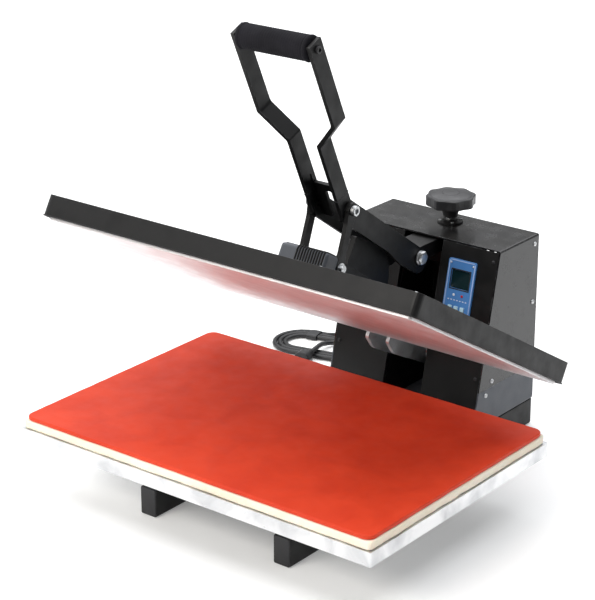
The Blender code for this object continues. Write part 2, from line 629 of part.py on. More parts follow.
# ---- Controller and electrical pieces ----------------------------------------------------------
def build_controller():
    place = lean_frame(PANEL_X, PANEL_CENTRE_UP)
    face = 3 * MM
    lcd_low, lcd_high = 1 * MM, 27 * MM
    lcd_half = 15 * MM
    button_y = -PANEL_HEIGHT / 2 + 15 * MM
    button_hole = BUTTON / 2 + GAP
    lcd_hole = rectangle(-lcd_half - GAP, lcd_low - GAP, lcd_half + GAP, lcd_high + GAP, 1 * MM)
    key_holes = [rectangle(BUTTON_PITCH * k - button_hole, button_y - button_hole,
                           BUTTON_PITCH * k + button_hole, button_y + button_hole) for k in (-1, 0, 1)]
    outline = rectangle(-PANEL_WIDTH / 2, -PANEL_HEIGHT / 2, PANEL_WIDTH / 2, PANEL_HEIGHT / 2, 3 * MM)
    bezel = plate("controller_bezel", outline, face, place @ plane_xy(GAP + face / 2), BLUE, [lcd_hole, *key_holes])
    bevel(bezel, 0.6 * MM, 1, 60)
    lcd = rectangle(-lcd_half, lcd_low, lcd_half, lcd_high, 1 * MM)
    plate("display_window", lcd, 2.2 * MM, place @ plane_xy(GAP + 1.1 * MM), GLASS)
    for number, k in enumerate((-1, 0, 1), 1):
        x = BUTTON_PITCH * k
        key = block("panel_button_%d" % number, (x - BUTTON / 2, button_y - BUTTON / 2, 0.6 * MM),
                    (x + BUTTON / 2, button_y + BUTTON / 2, GAP + face + BUTTON_PROUD), PALE, place)
        bevel(key, 0.5 * MM, 1)
    case_half_x = PANEL_WIDTH / 2 - 4 * MM
    case_half_y = PANEL_HEIGHT / 2 - 4 * MM
    block("controller_case", (-case_half_x, -case_half_y, -42 * MM), (case_half_x, case_half_y, -1 * MM),
          BLACK_PLASTIC, place)

    relay_x = -CHEEK_INNER - CHEEK_THICK - GAP
    block("solid_state_relay", (relay_x - 24 * MM, HINGE.y + 36 * MM, HINGE.z + 78 * MM),
          (relay_x, HINGE.y + 82 * MM, HINGE.z + 118 * MM), GREY)

    wall = BACK_Y
    collar = 2 * MM
    rocker_x = SWITCH_HALF - 3.5 * MM
    rocker_z = SWITCH_HALF_HEIGHT - 3 * MM
    frame = rectangle(SWITCH_X - SWITCH_HALF - 3 * MM, SWITCH_Z - SWITCH_HALF_HEIGHT - 3 * MM,
                      SWITCH_X + SWITCH_HALF + 3 * MM, SWITCH_Z + SWITCH_HALF_HEIGHT + 3 * MM, 2 * MM)
    opening = rectangle(SWITCH_X - rocker_x - GAP, SWITCH_Z - rocker_z - GAP,
                        SWITCH_X + rocker_x + GAP, SWITCH_Z + rocker_z + GAP, 1 * MM)
    plate("switch_frame", frame, collar, plane_xz(wall + GAP + collar / 2), BLACK_PLASTIC, [opening])
    # a rocker with two faces, tilted to off at rest
    pivot = Vector((SWITCH_X, wall - ROCKER_DEPTH, SWITCH_Z))
    tilt = Matrix.Translation(pivot) @ Matrix.Rotation(-ROCKER_TILT, 4, 'X') @ Matrix.Translation(-pivot)
    rocker = fillet([(wall - 6 * MM, SWITCH_Z - rocker_z + 2 * MM), (wall + 3.4 * MM, SWITCH_Z - rocker_z + 0.6 * MM, 0.5 * MM),
                     (wall + 2 * MM, SWITCH_Z), (wall + 3.4 * MM, SWITCH_Z + rocker_z - 0.6 * MM, 0.5 * MM),
                     (wall - 6 * MM, SWITCH_Z + rocker_z - 2 * MM)], 2)
    plate("power_rocker", rocker, 2 * rocker_x - 2 * MM, tilt @ plane_yz(SWITCH_X), RED_SILICONE)

    out = Matrix.Translation((GLAND_X, wall, GLAND_Z)) @ Matrix.Rotation(-pi / 2, 4, 'X')
    bore = CORD_RADIUS + GAP
    gland = [(bore, GLAND_LENGTH), (7 * MM, GLAND_LENGTH), (GLAND_NUT, 8 * MM), (GLAND_NUT, GAP),
             (GLAND_THREAD, GAP), (GLAND_THREAD, -12 * MM), (bore, -12 * MM)]
    turned("cable_gland", gland, out, BLACK_PLASTIC, 20)


# ---- Upper platen ------------------------------------------------------------------------------
def build_head():
    half = HEAD_WIDTH / 2
    wall = COVER_WALL
    middle = (COVER_BASE + COVER_TOP) / 2
    outline = rectangle(-half, 0, half, HEAD_DEPTH, HEAD_CORNER)
    cover = plate("platen_cover", outline, COVER_TOP - COVER_BASE, HEAD_OPEN @ plane_xy(middle), BLACK)
    bevel(cover, 1.2 * MM, 2, 60)
    hollow = plate("cover_hollow", rectangle(-half + wall, wall, half - wall, HEAD_DEPTH - wall, HEAD_CORNER - wall),
                   COVER_TOP, HEAD_OPEN @ plane_xy(COVER_TOP / 2 - wall), None, collection=CUTTERS)
    boolean(cover, hollow)

    side = HEAT_PLATE_WIDTH / 2
    inset = (HEAD_DEPTH - HEAT_PLATE_DEPTH) / 2
    slab = rectangle(-side, inset, side, HEAD_DEPTH - inset, 6 * MM)
    bevel(plate("heat_plate", slab, HEAT_PLATE, HEAD_OPEN @ plane_xy(HEAT_FACE + HEAT_PLATE / 2), ALUMINIUM),
          0.8 * MM, 1, 60)

    # serpentine element lying on the heat plate, under the insulation
    radius = 3 * MM
    level = HEAT_FACE + HEAT_PLATE + GAP + radius
    runs = 6
    reach = side - 40 * MM
    pitch = (HEAT_PLATE_DEPTH - 80 * MM) / (runs - 1)
    path = []
    for run in range(runs):
        y = inset + 40 * MM + pitch * run
        direction = 1 if run % 2 == 0 else -1
        path.append(Vector((-direction * reach, y, level)))
        path.append(Vector((direction * reach, y, level)))
        if run < runs - 1:
            for step in range(1, 6):
                turn = pi * step / 6
                path.append(Vector((direction * (reach + pitch / 2 * sin(turn) * 0.8),
                                    y + pitch / 2 * (1 - cos(turn)), level)))
    tube("heating_element", [HEAD_OPEN @ p for p in path], radius, STEEL)

    low = level + radius + GAP
    high = COVER_TOP - wall - GAP
    board = rectangle(-side + 4 * MM, inset + 4 * MM, side - 4 * MM, HEAD_DEPTH - inset - 4 * MM, 4 * MM)
    plate("insulation_board", board, high - low, HEAD_OPEN @ plane_xy((low + high) / 2), WOOL)

    deck = COVER_TOP + GAP
    base_thick = 4 * MM
    pin_y = LINK_PIN.y
    rear = HEAD_DEPTH
    # narrow at the front, where the links dip beside it half way through the travel
    narrow = LINK_INNER - 1 * MM
    step_y = pin_y + 34 * MM
    base = fillet([(-narrow, pin_y - 18 * MM, 3 * MM), (narrow, pin_y - 18 * MM, 3 * MM), (narrow, step_y),
                   (CHEEK_INNER, step_y + 8 * MM), (CHEEK_INNER, rear - 12 * MM, 3 * MM),
                   (-CHEEK_INNER, rear - 12 * MM, 3 * MM), (-CHEEK_INNER, step_y + 8 * MM), (-narrow, step_y)])
    # joined flat in the platen's own frame, then set in place
    bracket = plate("bracket_shape", base, base_thick, plane_xy(deck + base_thick / 2), None, collection=CUTTERS)
    foot = deck + base_thick + GAP
    weld = deck + base_thick - 1 * MM
    spine_top = LINK_PIN_UP + 55.5 * MM

    # low side plates that carry the link pin
    eye = 17.5 * MM
    crest = LINK_PIN_UP + 11 * MM
    ear = fillet([(pin_y - eye, weld), (rear - 20 * MM, weld), (rear - 22 * MM, foot + 24 * MM, 8 * MM),
                  (pin_y + 60 * MM, crest, 20 * MM), (pin_y - eye, crest, 10 * MM)], 7)
    pin_hole = circle(pin_y, LINK_PIN_UP, PIN_RADIUS + RUNNING, 20)

    def ear_plate(side_name, sign):
        x = sign * (BRACKET_INNER + BRACKET_THICK / 2)
        boolean(bracket, plate("bracket_ear_" + side_name, ear, BRACKET_THICK, plane_yz(x), None,
                               [pin_hole], CUTTERS), 'UNION')

    both_sides(ear_plate)

    spine = fillet([(pin_y + 58 * MM, weld), (rear - 14 * MM, weld), (rear - 14 * MM, foot + 14 * MM, 6 * MM),
                    (rear - 36 * MM, spine_top, 52 * MM), (pin_y + 58 * MM, spine_top, 3 * MM)], 10)
    boolean(bracket, plate("bracket_spine", spine, 2 * SPINE_HALF, plane_yz(0), None, collection=CUTTERS), 'UNION')
    mesh_from("platen_bracket", bracket, HEAD_OPEN, BLACK)

    pin_half = LINK_INNER - GAP
    pin = [(0, pin_half), (PIN_RADIUS, pin_half), (PIN_RADIUS, -pin_half), (0, -pin_half)]
    turned("link_pin", pin, HEAD_OPEN @ along_x(LINK_PIN), STEEL, 20)

    # arms from the deck over the rear edge and down to the hinge shaft
    hinge_y = HEAD_DEPTH + HINGE_BEHIND
    boss = 21 * MM
    arm = fillet([(hinge_y + boss, HINGE_UP - boss, boss - 0.1 * MM), (hinge_y + boss, HINGE_UP + boss, boss - 0.1 * MM),
                  (hinge_y - 30 * MM, HINGE_UP + boss, 30 * MM), (rear - 8 * MM, deck + 34 * MM, 24 * MM),
                  (rear - 62 * MM, foot + 26 * MM, 14 * MM), (rear - 84 * MM, foot), (rear + 3 * MM, foot, 1 * MM),
                  (rear + 3 * MM, -8 * MM, 5 * MM), (rear + 26 * MM, -19 * MM, 30 * MM)], 7)
    shaft_hole = circle(hinge_y, HINGE_UP, HINGE_SHAFT_RADIUS + RUNNING)

    def hinge_arm(side_name, sign):
        x = sign * (HINGE_ARM_INNER + BRACKET_THICK / 2)
        plate("hinge_arm_" + side_name, arm, BRACKET_THICK, HEAD_OPEN @ plane_yz(x), STEEL, [shaft_hole])

    both_sides(hinge_arm)

    # terminal box and the lead to the hinge
    box_low = (-27 * MM, pin_y - 64 * MM, deck)
    box_high = (52 * MM, pin_y - 33 * MM, deck + 35 * MM)
    box_shape = block("terminal_box", box_low, box_high, GREY, HEAD_OPEN)
    bevel(box_shape, 5 * MM, 3)
    lead_x = 46 * MM
    lead = 3.2 * MM
    out_z = deck + 12 * MM
    route = [(lead_x, box_high[1] + GAP, out_z), (lead_x, box_high[1] + 6 * MM, out_z),
             (lead_x, box_high[1] + 12 * MM, out_z), (lead_x, box_high[1] + 34 * MM, deck + lead + 1.5 * MM),
             (lead_x, pin_y + 70 * MM, deck + lead + 0.6 * MM), (lead_x, rear - 40 * MM, deck + lead + 0.6 * MM),
             (45 * MM, rear - 2 * MM, deck + lead + 1 * MM), (31 * MM, rear + 40 * MM, 26 * MM),
             (27.5 * MM, rear + 74 * MM, 16 * MM), (27.5 * MM, hinge_y - 22 * MM, 12 * MM)]
    tube("heater_lead", [HEAD_OPEN @ p for p in smooth_path(route, 9 * MM)], lead, BLACK_PLASTIC)


# ---- Handle and links --------------------------------------------------------------------------
def build_handle():
    to_knee = (KNEE_A - PIVOT_C).normalized()
    up = Vector((0, to_knee.z, -to_knee.y))
    if up.z < 0:
        up = -up

    def arm_point(along, above):
        place = PIVOT_C + to_knee * along + up * above
        return place.y, place.z

    def bar_point(along, across):
        place = handle_point(along, across)
        return place.y, place.z

    rear_edge = BAR_OFFSET + BAR_WIDTH / 2
    front_edge = BAR_OFFSET - BAR_WIDTH / 2
    joint = BAR_JOINT
    tail = 22 * MM
    # where the arm's straight upper edge meets the bar's rear edge
    upper = 13 * MM
    corner = PIVOT_C + to_knee * ARM_LENGTH + up * upper
    rise = (corner - handle_point(0, rear_edge)).dot(BAR_SIDE) / -to_knee.dot(BAR_SIDE)
    meet = corner + to_knee * rise
    outline = fillet([
        (*arm_point(-tail, upper), 15 * MM), (*arm_point(-tail, -tail), 19 * MM),
        (*arm_point(40 * MM, -24 * MM), 24 * MM), (*arm_point(80 * MM, -19 * MM), 60 * MM),
        (*arm_point(ARM_LENGTH + 4 * MM, -19 * MM), 16 * MM), (*bar_point(-4 * MM, front_edge), 10 * MM),
        bar_point(joint, front_edge), bar_point(joint, rear_edge), (meet.y, meet.z, 4 * MM)], 7)
    holes = [circle(PIVOT_C.y, PIVOT_C.z, PIN_RADIUS + RUNNING, 20),
             circle(KNEE_A.y, KNEE_A.z, PIN_RADIUS + GAP, 20)]

    def arm(side, sign):
        plate("toggle_arm_" + side, outline, ARM_THICK, plane_yz(sign * (ARM_INNER + ARM_THICK / 2)), BLACK, holes)

    both_sides(arm)

    # one flat bar a side, cranked outwards between its two knees; built in the bar's own frame
    bar_frame = Matrix.Translation(KNEE_A) @ Matrix.Rotation(HANDLE_LEAN, 4, 'X')
    half = ARM_THICK / 2
    low_x = ARM_INNER + half
    crank = atan2(BAR_SPREAD - low_x, BAR_KNEE_HIGH - BAR_KNEE_LOW)
    shift = half * tan(crank / 2)
    grip_low = GRIP_AT

    def bar(side, sign):
        line = [(low_x - half, joint + GAP, 0), (low_x + half, joint + GAP, 0),
                (low_x + half, BAR_KNEE_LOW - shift, 9 * MM), (BAR_SPREAD + half, BAR_KNEE_HIGH - shift, 4 * MM),
                (BAR_SPREAD + half, BAR_TOP, 1 * MM), (BAR_SPREAD - half, BAR_TOP, 1 * MM),
                (BAR_SPREAD - half, BAR_KNEE_HIGH + shift, 9 * MM), (low_x - half, BAR_KNEE_LOW + shift, 4 * MM)]
        line = fillet([(sign * x, z, r) for x, z, r in line], 4)
        obj = plate("handle_bar_" + side, line, BAR_WIDTH, bar_frame @ plane_xz(BAR_OFFSET), BLACK)
        bevel(obj, 0.8 * MM, 1, 60)

    both_sides(bar)

    # cross web with a notch that straddles the platen's spine when the press is shut
    notch = SPINE_HALF + 2 * MM
    reach = ARM_INNER - GAP
    web_low, web_high, notch_high = -22 * MM, 36 * MM, 25 * MM
    web = [(-reach, web_low), (-notch, web_low), (-notch, notch_high, 4 * MM), (notch, notch_high, 4 * MM),
           (notch, web_low), (reach, web_low), (reach, web_high), (-reach, web_high)]
    plate("handle_web", fillet(web, 4), 5 * MM, bar_frame @ plane_xz(3 * MM), BLACK)

    grip_place = bar_frame @ Matrix.Translation((0, BAR_OFFSET, grip_low))
    rod_half = BAR_SPREAD - half - GAP
    rod = [(0, rod_half), (GRIP_ROD_RADIUS, rod_half), (GRIP_ROD_RADIUS, -rod_half), (0, -rod_half)]
    turned("grip_rod", rod, grip_place @ Matrix.Rotation(pi / 2, 4, 'Y'), STEEL)
    grip_half = rod_half - 0.6 * MM
    bore = GRIP_ROD_RADIUS + GAP
    profile = [(bore, grip_half), (GRIP_RADIUS - 2 * MM, grip_half), (GRIP_RADIUS, grip_half - 2 * MM),
               (GRIP_RADIUS, -grip_half + 2 * MM), (GRIP_RADIUS - 2 * MM, -grip_half), (bore, -grip_half)]
    turned("handle_grip", profile, grip_place @ Matrix.Rotation(pi / 2, 4, 'Y'), GRIP_FOAM)

    # knee bolts: shank through the arm and the link outside it, head outside
    shank_in = ARM_INNER + 0.2 * MM
    outer = LINK_INNER + LINK_THICK + GAP

    def knee_bolt(side, sign):
        bolt = [(0, outer + 6 * MM), (6.5 * MM, outer + 6 * MM), (8 * MM, outer + 4.5 * MM), (8 * MM, outer),
                (PIN_RADIUS, outer), (PIN_RADIUS, shank_in), (0, shank_in)]
        turned("knee_bolt_" + side, bolt, along_x(KNEE_A, sign), STEEL, 20)

    both_sides(knee_bolt)

    drop = (PIN_B - KNEE_A).normalized()
    side_way = Vector((0, -drop.z, drop.y))
    eye = 11 * MM
    waist = 6.5 * MM

    def strip(centre, start, end):
        return [centre + drop * eye * cos(a) + side_way * eye * sin(a)
                for a in [start + (end - start) * k / 12 for k in range(13)]]

    swing = radians(140)
    top_arc = strip(KNEE_A, pi - swing + radians(20), pi + swing - radians(20))
    low_arc = strip(PIN_B, -swing + radians(20), swing - radians(20))
    shoulder = 20 * MM
    link = [*top_arc, KNEE_A + drop * shoulder - side_way * waist, PIN_B - drop * shoulder - side_way * waist,
            *low_arc, PIN_B - drop * shoulder + side_way * waist, KNEE_A + drop * shoulder + side_way * waist]
    link = [Vector((p.y, p.z)) for p in link]
    link_holes = [circle(KNEE_A.y, KNEE_A.z, PIN_RADIUS + RUNNING, 20), circle(PIN_B.y, PIN_B.z, PIN_RADIUS - 1 * MM, 20)]

    def link_side(side, sign):
        plate("toggle_link_" + side, link, LINK_THICK, plane_yz(sign * (LINK_INNER + LINK_THICK / 2)), BLACK, link_holes)
        inner = LINK_INNER + 0.4 * MM
        face = LINK_INNER + LINK_THICK + GAP
        bolt = [(0, face + 4.6 * MM), (6 * MM, face + 4.6 * MM), (7.5 * MM, face + 3.4 * MM), (7.5 * MM, face),
                (PIN_RADIUS - 1.4 * MM, face), (PIN_RADIUS - 1.4 * MM, inner), (0, inner)]
        turned("link_bolt_" + side, bolt, along_x(PIN_B, sign), STEEL, 20)

    both_sides(link_side)


# ---- Mains cord --------------------------------------------------------------------------------
def build_cord():
    floor = 0.2 * MM
    lie = CORD_RADIUS + floor
    hank_place = Matrix.Translation(HANK_CENTRE) @ Matrix.Rotation(HANK_TURN, 4, 'Z')
    half = HANK_LENGTH / 2
    side = HANK_WIDTH / 2
    outline = []
    for end in (1, -1):
        for step in range(13):
            turn = -pi / 2 + pi * step / 12
            outline.append(Vector((end * (half - side + side * cos(turn)), end * side * sin(turn))))
    plate("cord_hank", outline, HANK_HEIGHT, hank_place @ plane_xy(floor + HANK_HEIGHT / 2), BLACK_PLASTIC)

    mouth = hank_place @ Vector((20 * MM, side + GAP, lie))
    away = (hank_place.to_3x3() @ Vector((0, 1, 0))).normalized()
    straight = [(GLAND_X, BACK_Y + along, GLAND_Z) for along in (-11 * MM, 9 * MM, 20 * MM, 31 * MM)]
    route = [*straight, (-86 * MM, BACK_Y + 66 * MM, 50 * MM),
             (-112 * MM, BACK_Y + 102 * MM, lie + 7 * MM), (-165 * MM, BACK_Y + 138 * MM, lie),
             (-235 * MM, BACK_Y + 150 * MM, lie), mouth + away * 26 * MM, mouth + away * 13 * MM, mouth]
    tube("mains_cord", smooth_path(route, 10 * MM), CORD_RADIUS, BLACK_PLASTIC)

    # moulded plug lying beside the hank, its tail against it
    tail = hank_place @ Matrix.Translation((-10 * MM, -side - GAP, lie + 9 * MM)) @ Matrix.Rotation(pi / 2, 4, 'X')
    plug = [(0, 48 * MM), (15 * MM, 48 * MM), (16.5 * MM, 44 * MM), (16.5 * MM, 22 * MM), (7 * MM, 14 * MM),
            (5.5 * MM, 0), (0, 0)]
    turned("mains_plug", plug, tail, BLACK_PLASTIC, 20)


build_base()
build_column()
build_pressure()
build_housing()
build_controller()
build_head()
build_handle()
build_cord()
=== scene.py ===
"""Open clamshell heat press on a plain floor: finishes, fittings, mains cord, light and camera.

Metres, +X to the right of the person using it, +Y to the back, +Z up."""
import json
from math import cos, pi, radians, sin

import bmesh
import bpy
from mathutils import Matrix, Vector, noise


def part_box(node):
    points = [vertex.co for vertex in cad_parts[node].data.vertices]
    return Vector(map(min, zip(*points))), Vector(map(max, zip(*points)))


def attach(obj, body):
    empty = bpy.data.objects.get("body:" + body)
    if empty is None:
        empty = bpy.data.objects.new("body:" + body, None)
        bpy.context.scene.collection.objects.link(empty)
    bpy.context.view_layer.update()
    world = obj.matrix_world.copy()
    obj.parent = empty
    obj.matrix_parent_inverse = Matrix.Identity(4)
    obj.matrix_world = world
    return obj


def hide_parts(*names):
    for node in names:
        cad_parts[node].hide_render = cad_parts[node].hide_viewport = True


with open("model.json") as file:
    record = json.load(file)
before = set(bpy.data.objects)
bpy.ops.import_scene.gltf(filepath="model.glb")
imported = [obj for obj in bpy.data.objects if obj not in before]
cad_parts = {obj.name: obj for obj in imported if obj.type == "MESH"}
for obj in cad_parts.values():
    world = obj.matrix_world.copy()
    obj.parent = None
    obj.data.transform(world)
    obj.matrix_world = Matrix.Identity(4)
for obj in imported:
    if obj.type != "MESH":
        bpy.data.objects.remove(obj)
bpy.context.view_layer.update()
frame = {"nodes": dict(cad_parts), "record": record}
nodes = frame["nodes"]
MM = 0.001

# ---- Camera -----------------------------------------------------------------------------------
camera_data = bpy.data.cameras.new("camera")
camera_data.lens = 125.84
camera_data.sensor_width = 36
camera = bpy.data.objects.new("camera", camera_data)
camera.location = (1.6368, -2.1650, 1.3076)
camera.rotation_euler = (radians(68.97), 0, radians(38.16))
bpy.context.scene.collection.objects.link(camera)
bpy.context.scene.camera = camera

# ---- Frames of the moving groups ----------------------------------------------------------------
HINGE = Vector((0, 0.2099, 0.1275))
PIVOT = Vector((0, 0.1649, 0.2865))
KNEE = Vector((0, -0.004689, 0.403443))
LINK_END = Vector((0, -0.032619, 0.327707))
SCREW_Y = 0.2835
BACK_Y = 0.3195
ROOF_Z = 0.303
HOUSING_HALF = 0.132
RAIL_X = 0.1165
SWITCH_X = 0.055
LEAN = radians(12.6)
# x across, y from the platen's front edge to its rear, z up from its heating face
HEAD = (Matrix.Translation(HINGE) @ Matrix.Rotation(radians(-30.3), 4, 'X') @ Matrix.Translation(-HINGE)
        @ Matrix.Translation((0, -0.3225, 0.120)))
# x across, y to the bar's rear, z along the bar from the knee
BAR = Matrix.Translation(KNEE) @ Matrix.Rotation(radians(24.6), 4, 'X')


def front_frame(x, z):
    """On the housing's inclined front: x across, y up the slope, z outwards."""
    y = 0.2175 - (ROOF_Z - z) * 0.22353
    return Matrix.Translation((x, y, z)) @ Matrix.Rotation(pi / 2 - LEAN, 4, 'X')


def facing(point, axis):
    """A frame at the point whose Z axis looks along the given direction."""
    return Matrix.Translation(point) @ Vector(axis).to_track_quat('Z', 'Y').to_matrix().to_4x4()


# ---- Materials ----------------------------------------------------------------------------------
def linear(colour):
    """An sRGB hex colour as linear RGBA."""
    parts = [int(colour[k:k + 2], 16) / 255 for k in (1, 3, 5)]
    return [p / 12.92 if p <= 0.04045 else ((p + 0.055) / 1.055) ** 2.4 for p in parts] + [1.0]


def add(tree, kind, feeds=None, **settings):
    """Add a shader node: settings are its properties, feeds are values or other nodes' outputs."""
    made = tree.nodes.new("ShaderNode" + kind)
    for key, value in settings.items():
        setattr(made, key, value)
    for key, value in (feeds or {}).items():
        if isinstance(value, bpy.types.NodeSocket):
            tree.links.new(value, made.inputs[key])
        else:
            made.inputs[key].default_value = value
    return made


def start(name):
    """A material with its shader node and real-size coordinates in metres."""
    mat = bpy.data.materials.new(name)
    mat.use_nodes = True
    tree = mat.node_tree
    place = add(tree, "TexCoord").outputs["Object"]
    return mat, tree, tree.nodes["Principled BSDF"], place


def field(tree, place, size, detail=2.0, stretch=None, distortion=0.0):
    """Noise whose features are about size metres across, stretched along an axis on request."""
    if stretch:
        place = add(tree, "Mapping", {"Vector": place, "Scale": stretch}).outputs["Vector"]
    feeds = {"Vector": place, "Scale": 1 / size, "Detail": detail, "Distortion": distortion}
    return add(tree, "TexNoise", feeds).outputs["Fac"]


def span(tree, value, low, high, to_low, to_high):
    """Stretch the range low to high over the range to_low to to_high."""
    feeds = {"Value": value, "From Min": low, "From Max": high, "To Min": to_low, "To Max": to_high}
    return add(tree, "MapRange", feeds).outputs["Result"]


def tint(tree, factor, first, second):
    """Mix two colours by a factor."""
    return add(tree, "Mix", {0: factor, 6: first, 7: second}, data_type='RGBA').outputs[2]


def rounded_normal(tree, radius):
    """The normal of slightly rounded edges, which catch a line of light."""
    return add(tree, "Bevel", {"Radius": radius}, samples=6).outputs["Normal"]


def edge_mask(tree, soft):
    """1 on edges, where the rounded normal leaves the true one, and 0 on faces."""
    true = add(tree, "NewGeometry").outputs["Normal"]
    dot = add(tree, "VectorMath", {0: soft, 1: true}, operation='DOT_PRODUCT').outputs["Value"]
    return span(tree, dot, 0.995, 0.90, 0.0, 1.0)


def relief(tree, shader, height, distance, strength, normal=None):
    """Raise the surface by a height field, over a rounded normal if one is given."""
    feeds = {"Height": height, "Distance": distance, "Strength": strength}
    if normal is not None:
        feeds["Normal"] = normal
    tree.links.new(add(tree, "Bump", feeds).outputs["Normal"], shader.inputs["Normal"])


def roughen(tree, shader, place, size, low, high):
    """Roughness that drifts between two values over patches of a size."""
    patches = field(tree, place, size, 3)
    tree.links.new(span(tree, patches, 0.3, 0.7, low, high), shader.inputs["Roughness"])


def powder_coat(name, colour, worn, upward_highlight_amount, rough, sheen=0.3):
    """Baked powder over steel: a fine orange peel from the melt, thin bright edges where sheet has
    rubbed, and a painted highlight that lightens what faces up towards grey in patches, standing for the
    overhead light's reflection."""
    mat, tree, shader, place = start(name)
    soft = rounded_normal(tree, 0.7 * MM)
    rubbed = span(tree, field(tree, place, 9 * MM, 4), 0.47, 0.62, 0.0, 0.75)
    scuffed = add(tree, "Math", {0: edge_mask(tree, soft), 1: rubbed}, operation='MULTIPLY').outputs[0]
    # painted highlight: up-facing surfaces are mixed towards light grey in patches, standing for the overhead
    # light's reflection
    cloudy = span(tree, field(tree, place, 60 * MM, 3), 0.3, 0.75, 0.0, 1.0)
    up = add(tree, "SeparateXYZ", {0: add(tree, "NewGeometry").outputs["Normal"]}).outputs["Z"]
    painted_upward_light = span(tree, up, 0.6, 1.0, 0.0, upward_highlight_amount)
    painted_highlight_patches = add(tree, "Math", {0: painted_upward_light, 1: cloudy}, operation='MULTIPLY').outputs[0]
    coat_and_painted_highlight = tint(tree, painted_highlight_patches, linear(colour), linear("#8c8880"))
    tree.links.new(tint(tree, scuffed, coat_and_painted_highlight, linear(worn)), shader.inputs["Base Color"])
    roughen(tree, shader, place, 22 * MM, rough - 0.07, rough + 0.09)
    shader.inputs["Specular IOR Level"].default_value = sheen
    relief(tree, shader, field(tree, place, 1.5 * MM, 2), 0.09 * MM, 0.8, soft)
    return mat


def bare_metal(name, colour, rough, line_scale, groove, cloud="#8f9296"):
    """Bare metal: its colour, a drawn or milled grain along one axis, and faint handling marks."""
    mat, tree, shader, place = start(name)
    shader.inputs["Metallic"].default_value = 1.0
    stain = span(tree, field(tree, place, 45 * MM, 4, None, 0.6), 0.42, 0.72, 0.0, 0.55)
    tree.links.new(tint(tree, stain, linear(colour), linear(cloud)), shader.inputs["Base Color"])
    grain = field(tree, place, 0.8 * MM, 2, line_scale)
    smear = span(tree, field(tree, place, 30 * MM, 3), 0.3, 0.7, rough - 0.06, rough + 0.1)
    scored = span(tree, grain, 0.3, 0.7, -0.05, 0.05)
    mixed = add(tree, "Math", {0: smear, 1: scored}, operation='ADD').outputs[0]
    tree.links.new(mixed, shader.inputs["Roughness"])
    relief(tree, shader, grain, groove, 0.35, rounded_normal(tree, 0.5 * MM))
    return mat


def moulded(name, colour, rough, grain, depth, faded=None):
    """Moulded plastic or rubber: an even skin with the mould's fine texture and a slight bloom."""
    mat, tree, shader, place = start(name)
    bloom = span(tree, field(tree, place, 28 * MM, 3), 0.35, 0.75, 0.0, 0.45)
    tree.links.new(tint(tree, bloom, linear(colour), linear(faded or colour)), shader.inputs["Base Color"])
    roughen(tree, shader, place, 14 * MM, rough - 0.06, rough + 0.08)
    relief(tree, shader, field(tree, place, grain, 1), depth, 0.6, rounded_normal(tree, 0.5 * MM))
    return mat


def sponge(name, colour, shade, cell, depth, rough, glow):
    """Foamed sheet: open cells cut through at the surface, with light scattered below it."""
    mat, tree, shader, place = start(name)
    cells = add(tree, "TexVoronoi", {"Vector": place, "Scale": 1 / cell}, feature='F1').outputs["Distance"]
    worn = span(tree, field(tree, place, 55 * MM, 4, None, 0.4), 0.38, 0.7, 0.0, 1.0)
    tree.links.new(tint(tree, worn, linear(colour), linear(shade)), shader.inputs["Base Color"])
    roughen(tree, shader, place, 20 * MM, rough - 0.06, rough + 0.06)
    shader.inputs["Specular IOR Level"].default_value = 0.22
    shader.inputs["Subsurface Weight"].default_value = glow
    shader.inputs["Subsurface Radius"].default_value = (0.004, 0.0015, 0.0008)
    shader.inputs["Subsurface Scale"].default_value = 1.0
    relief(tree, shader, cells, depth, 0.7)
    return mat


# the fourth number is how far the painted highlight lightens each coat's up-facing surfaces
BLACK = powder_coat("black powder coat", "#0b0b0c", "#6c6e70", 0.05, 0.46)
SHELL = powder_coat("black powder coat, sheet cover", "#0a0a0c", "#7c7e80", 0.06, 0.22, 0.6)
GREY = powder_coat("grey powder coat", "#4a4e55", "#a2a5a8", 0.10, 0.42, 0.4)
ZINC = bare_metal("bright zinc plate", "#dfe1e2", 0.40, (1, 1, 0.15), 0.012 * MM)
CHROME = bare_metal("turned chrome steel", "#dcdee0", 0.10, (0.1, 1, 1), 0.004 * MM, "#b4b7ba")
PLATE = bare_metal("satin coated aluminium", "#dcdadb", 0.46, (0.3, 1, 1), 0.004 * MM, "#c9c5c6")
CAST = bare_metal("galvanised bed tray", "#e6e7e8", 0.36, (0.05, 1, 1), 0.010 * MM, "#9a9da1")
PLASTIC = moulded("black nylon", "#18181b", 0.42, 0.6 * MM, 0.03 * MM, "#2b2b2e")
KNOB_TOP = moulded("handled black nylon", "#262628", 0.36, 0.5 * MM, 0.02 * MM, "#3c3c3f")
PVC = moulded("black cord sheath", "#131315", 0.38, 2.2 * MM, 0.02 * MM, "#232326")
RUBBER_FOAM = sponge("nitrile foam sleeve", "#100f14", "#19181e", 0.55 * MM, 0.10 * MM, 0.86, 0.0)
SILICONE = sponge("red sponge silicone", "#d84020", "#cb3618", 0.7 * MM, 0.03 * MM, 0.5, 0.03)
FOAM = sponge("cream felted foam", "#fbf0de", "#efe2cc", 0.9 * MM, 0.10 * MM, 0.93, 0.15)
FILM = moulded("blue panel film", "#4b84c6", 0.34, 0.5 * MM, 0.006 * MM, "#5a90cf")
FILM_EDGE = moulded("pale blue print", "#9db9e6", 0.36, 0.5 * MM, 0.004 * MM)
KEY = moulded("pale keys", "#bfe4f4", 0.32, 0.5 * MM, 0.006 * MM, "#a9d4ea")
PRINT = moulded("white print", "#dfe6ee", 0.45, 0.4 * MM, 0.003 * MM)
LENS = moulded("smoked display window", "#10262b", 0.09, 3 * MM, 0.002 * MM, "#16322f")
SEGMENT = moulded("resting display segments", "#1e3a3a", 0.2, 0.5 * MM, 0.002 * MM)
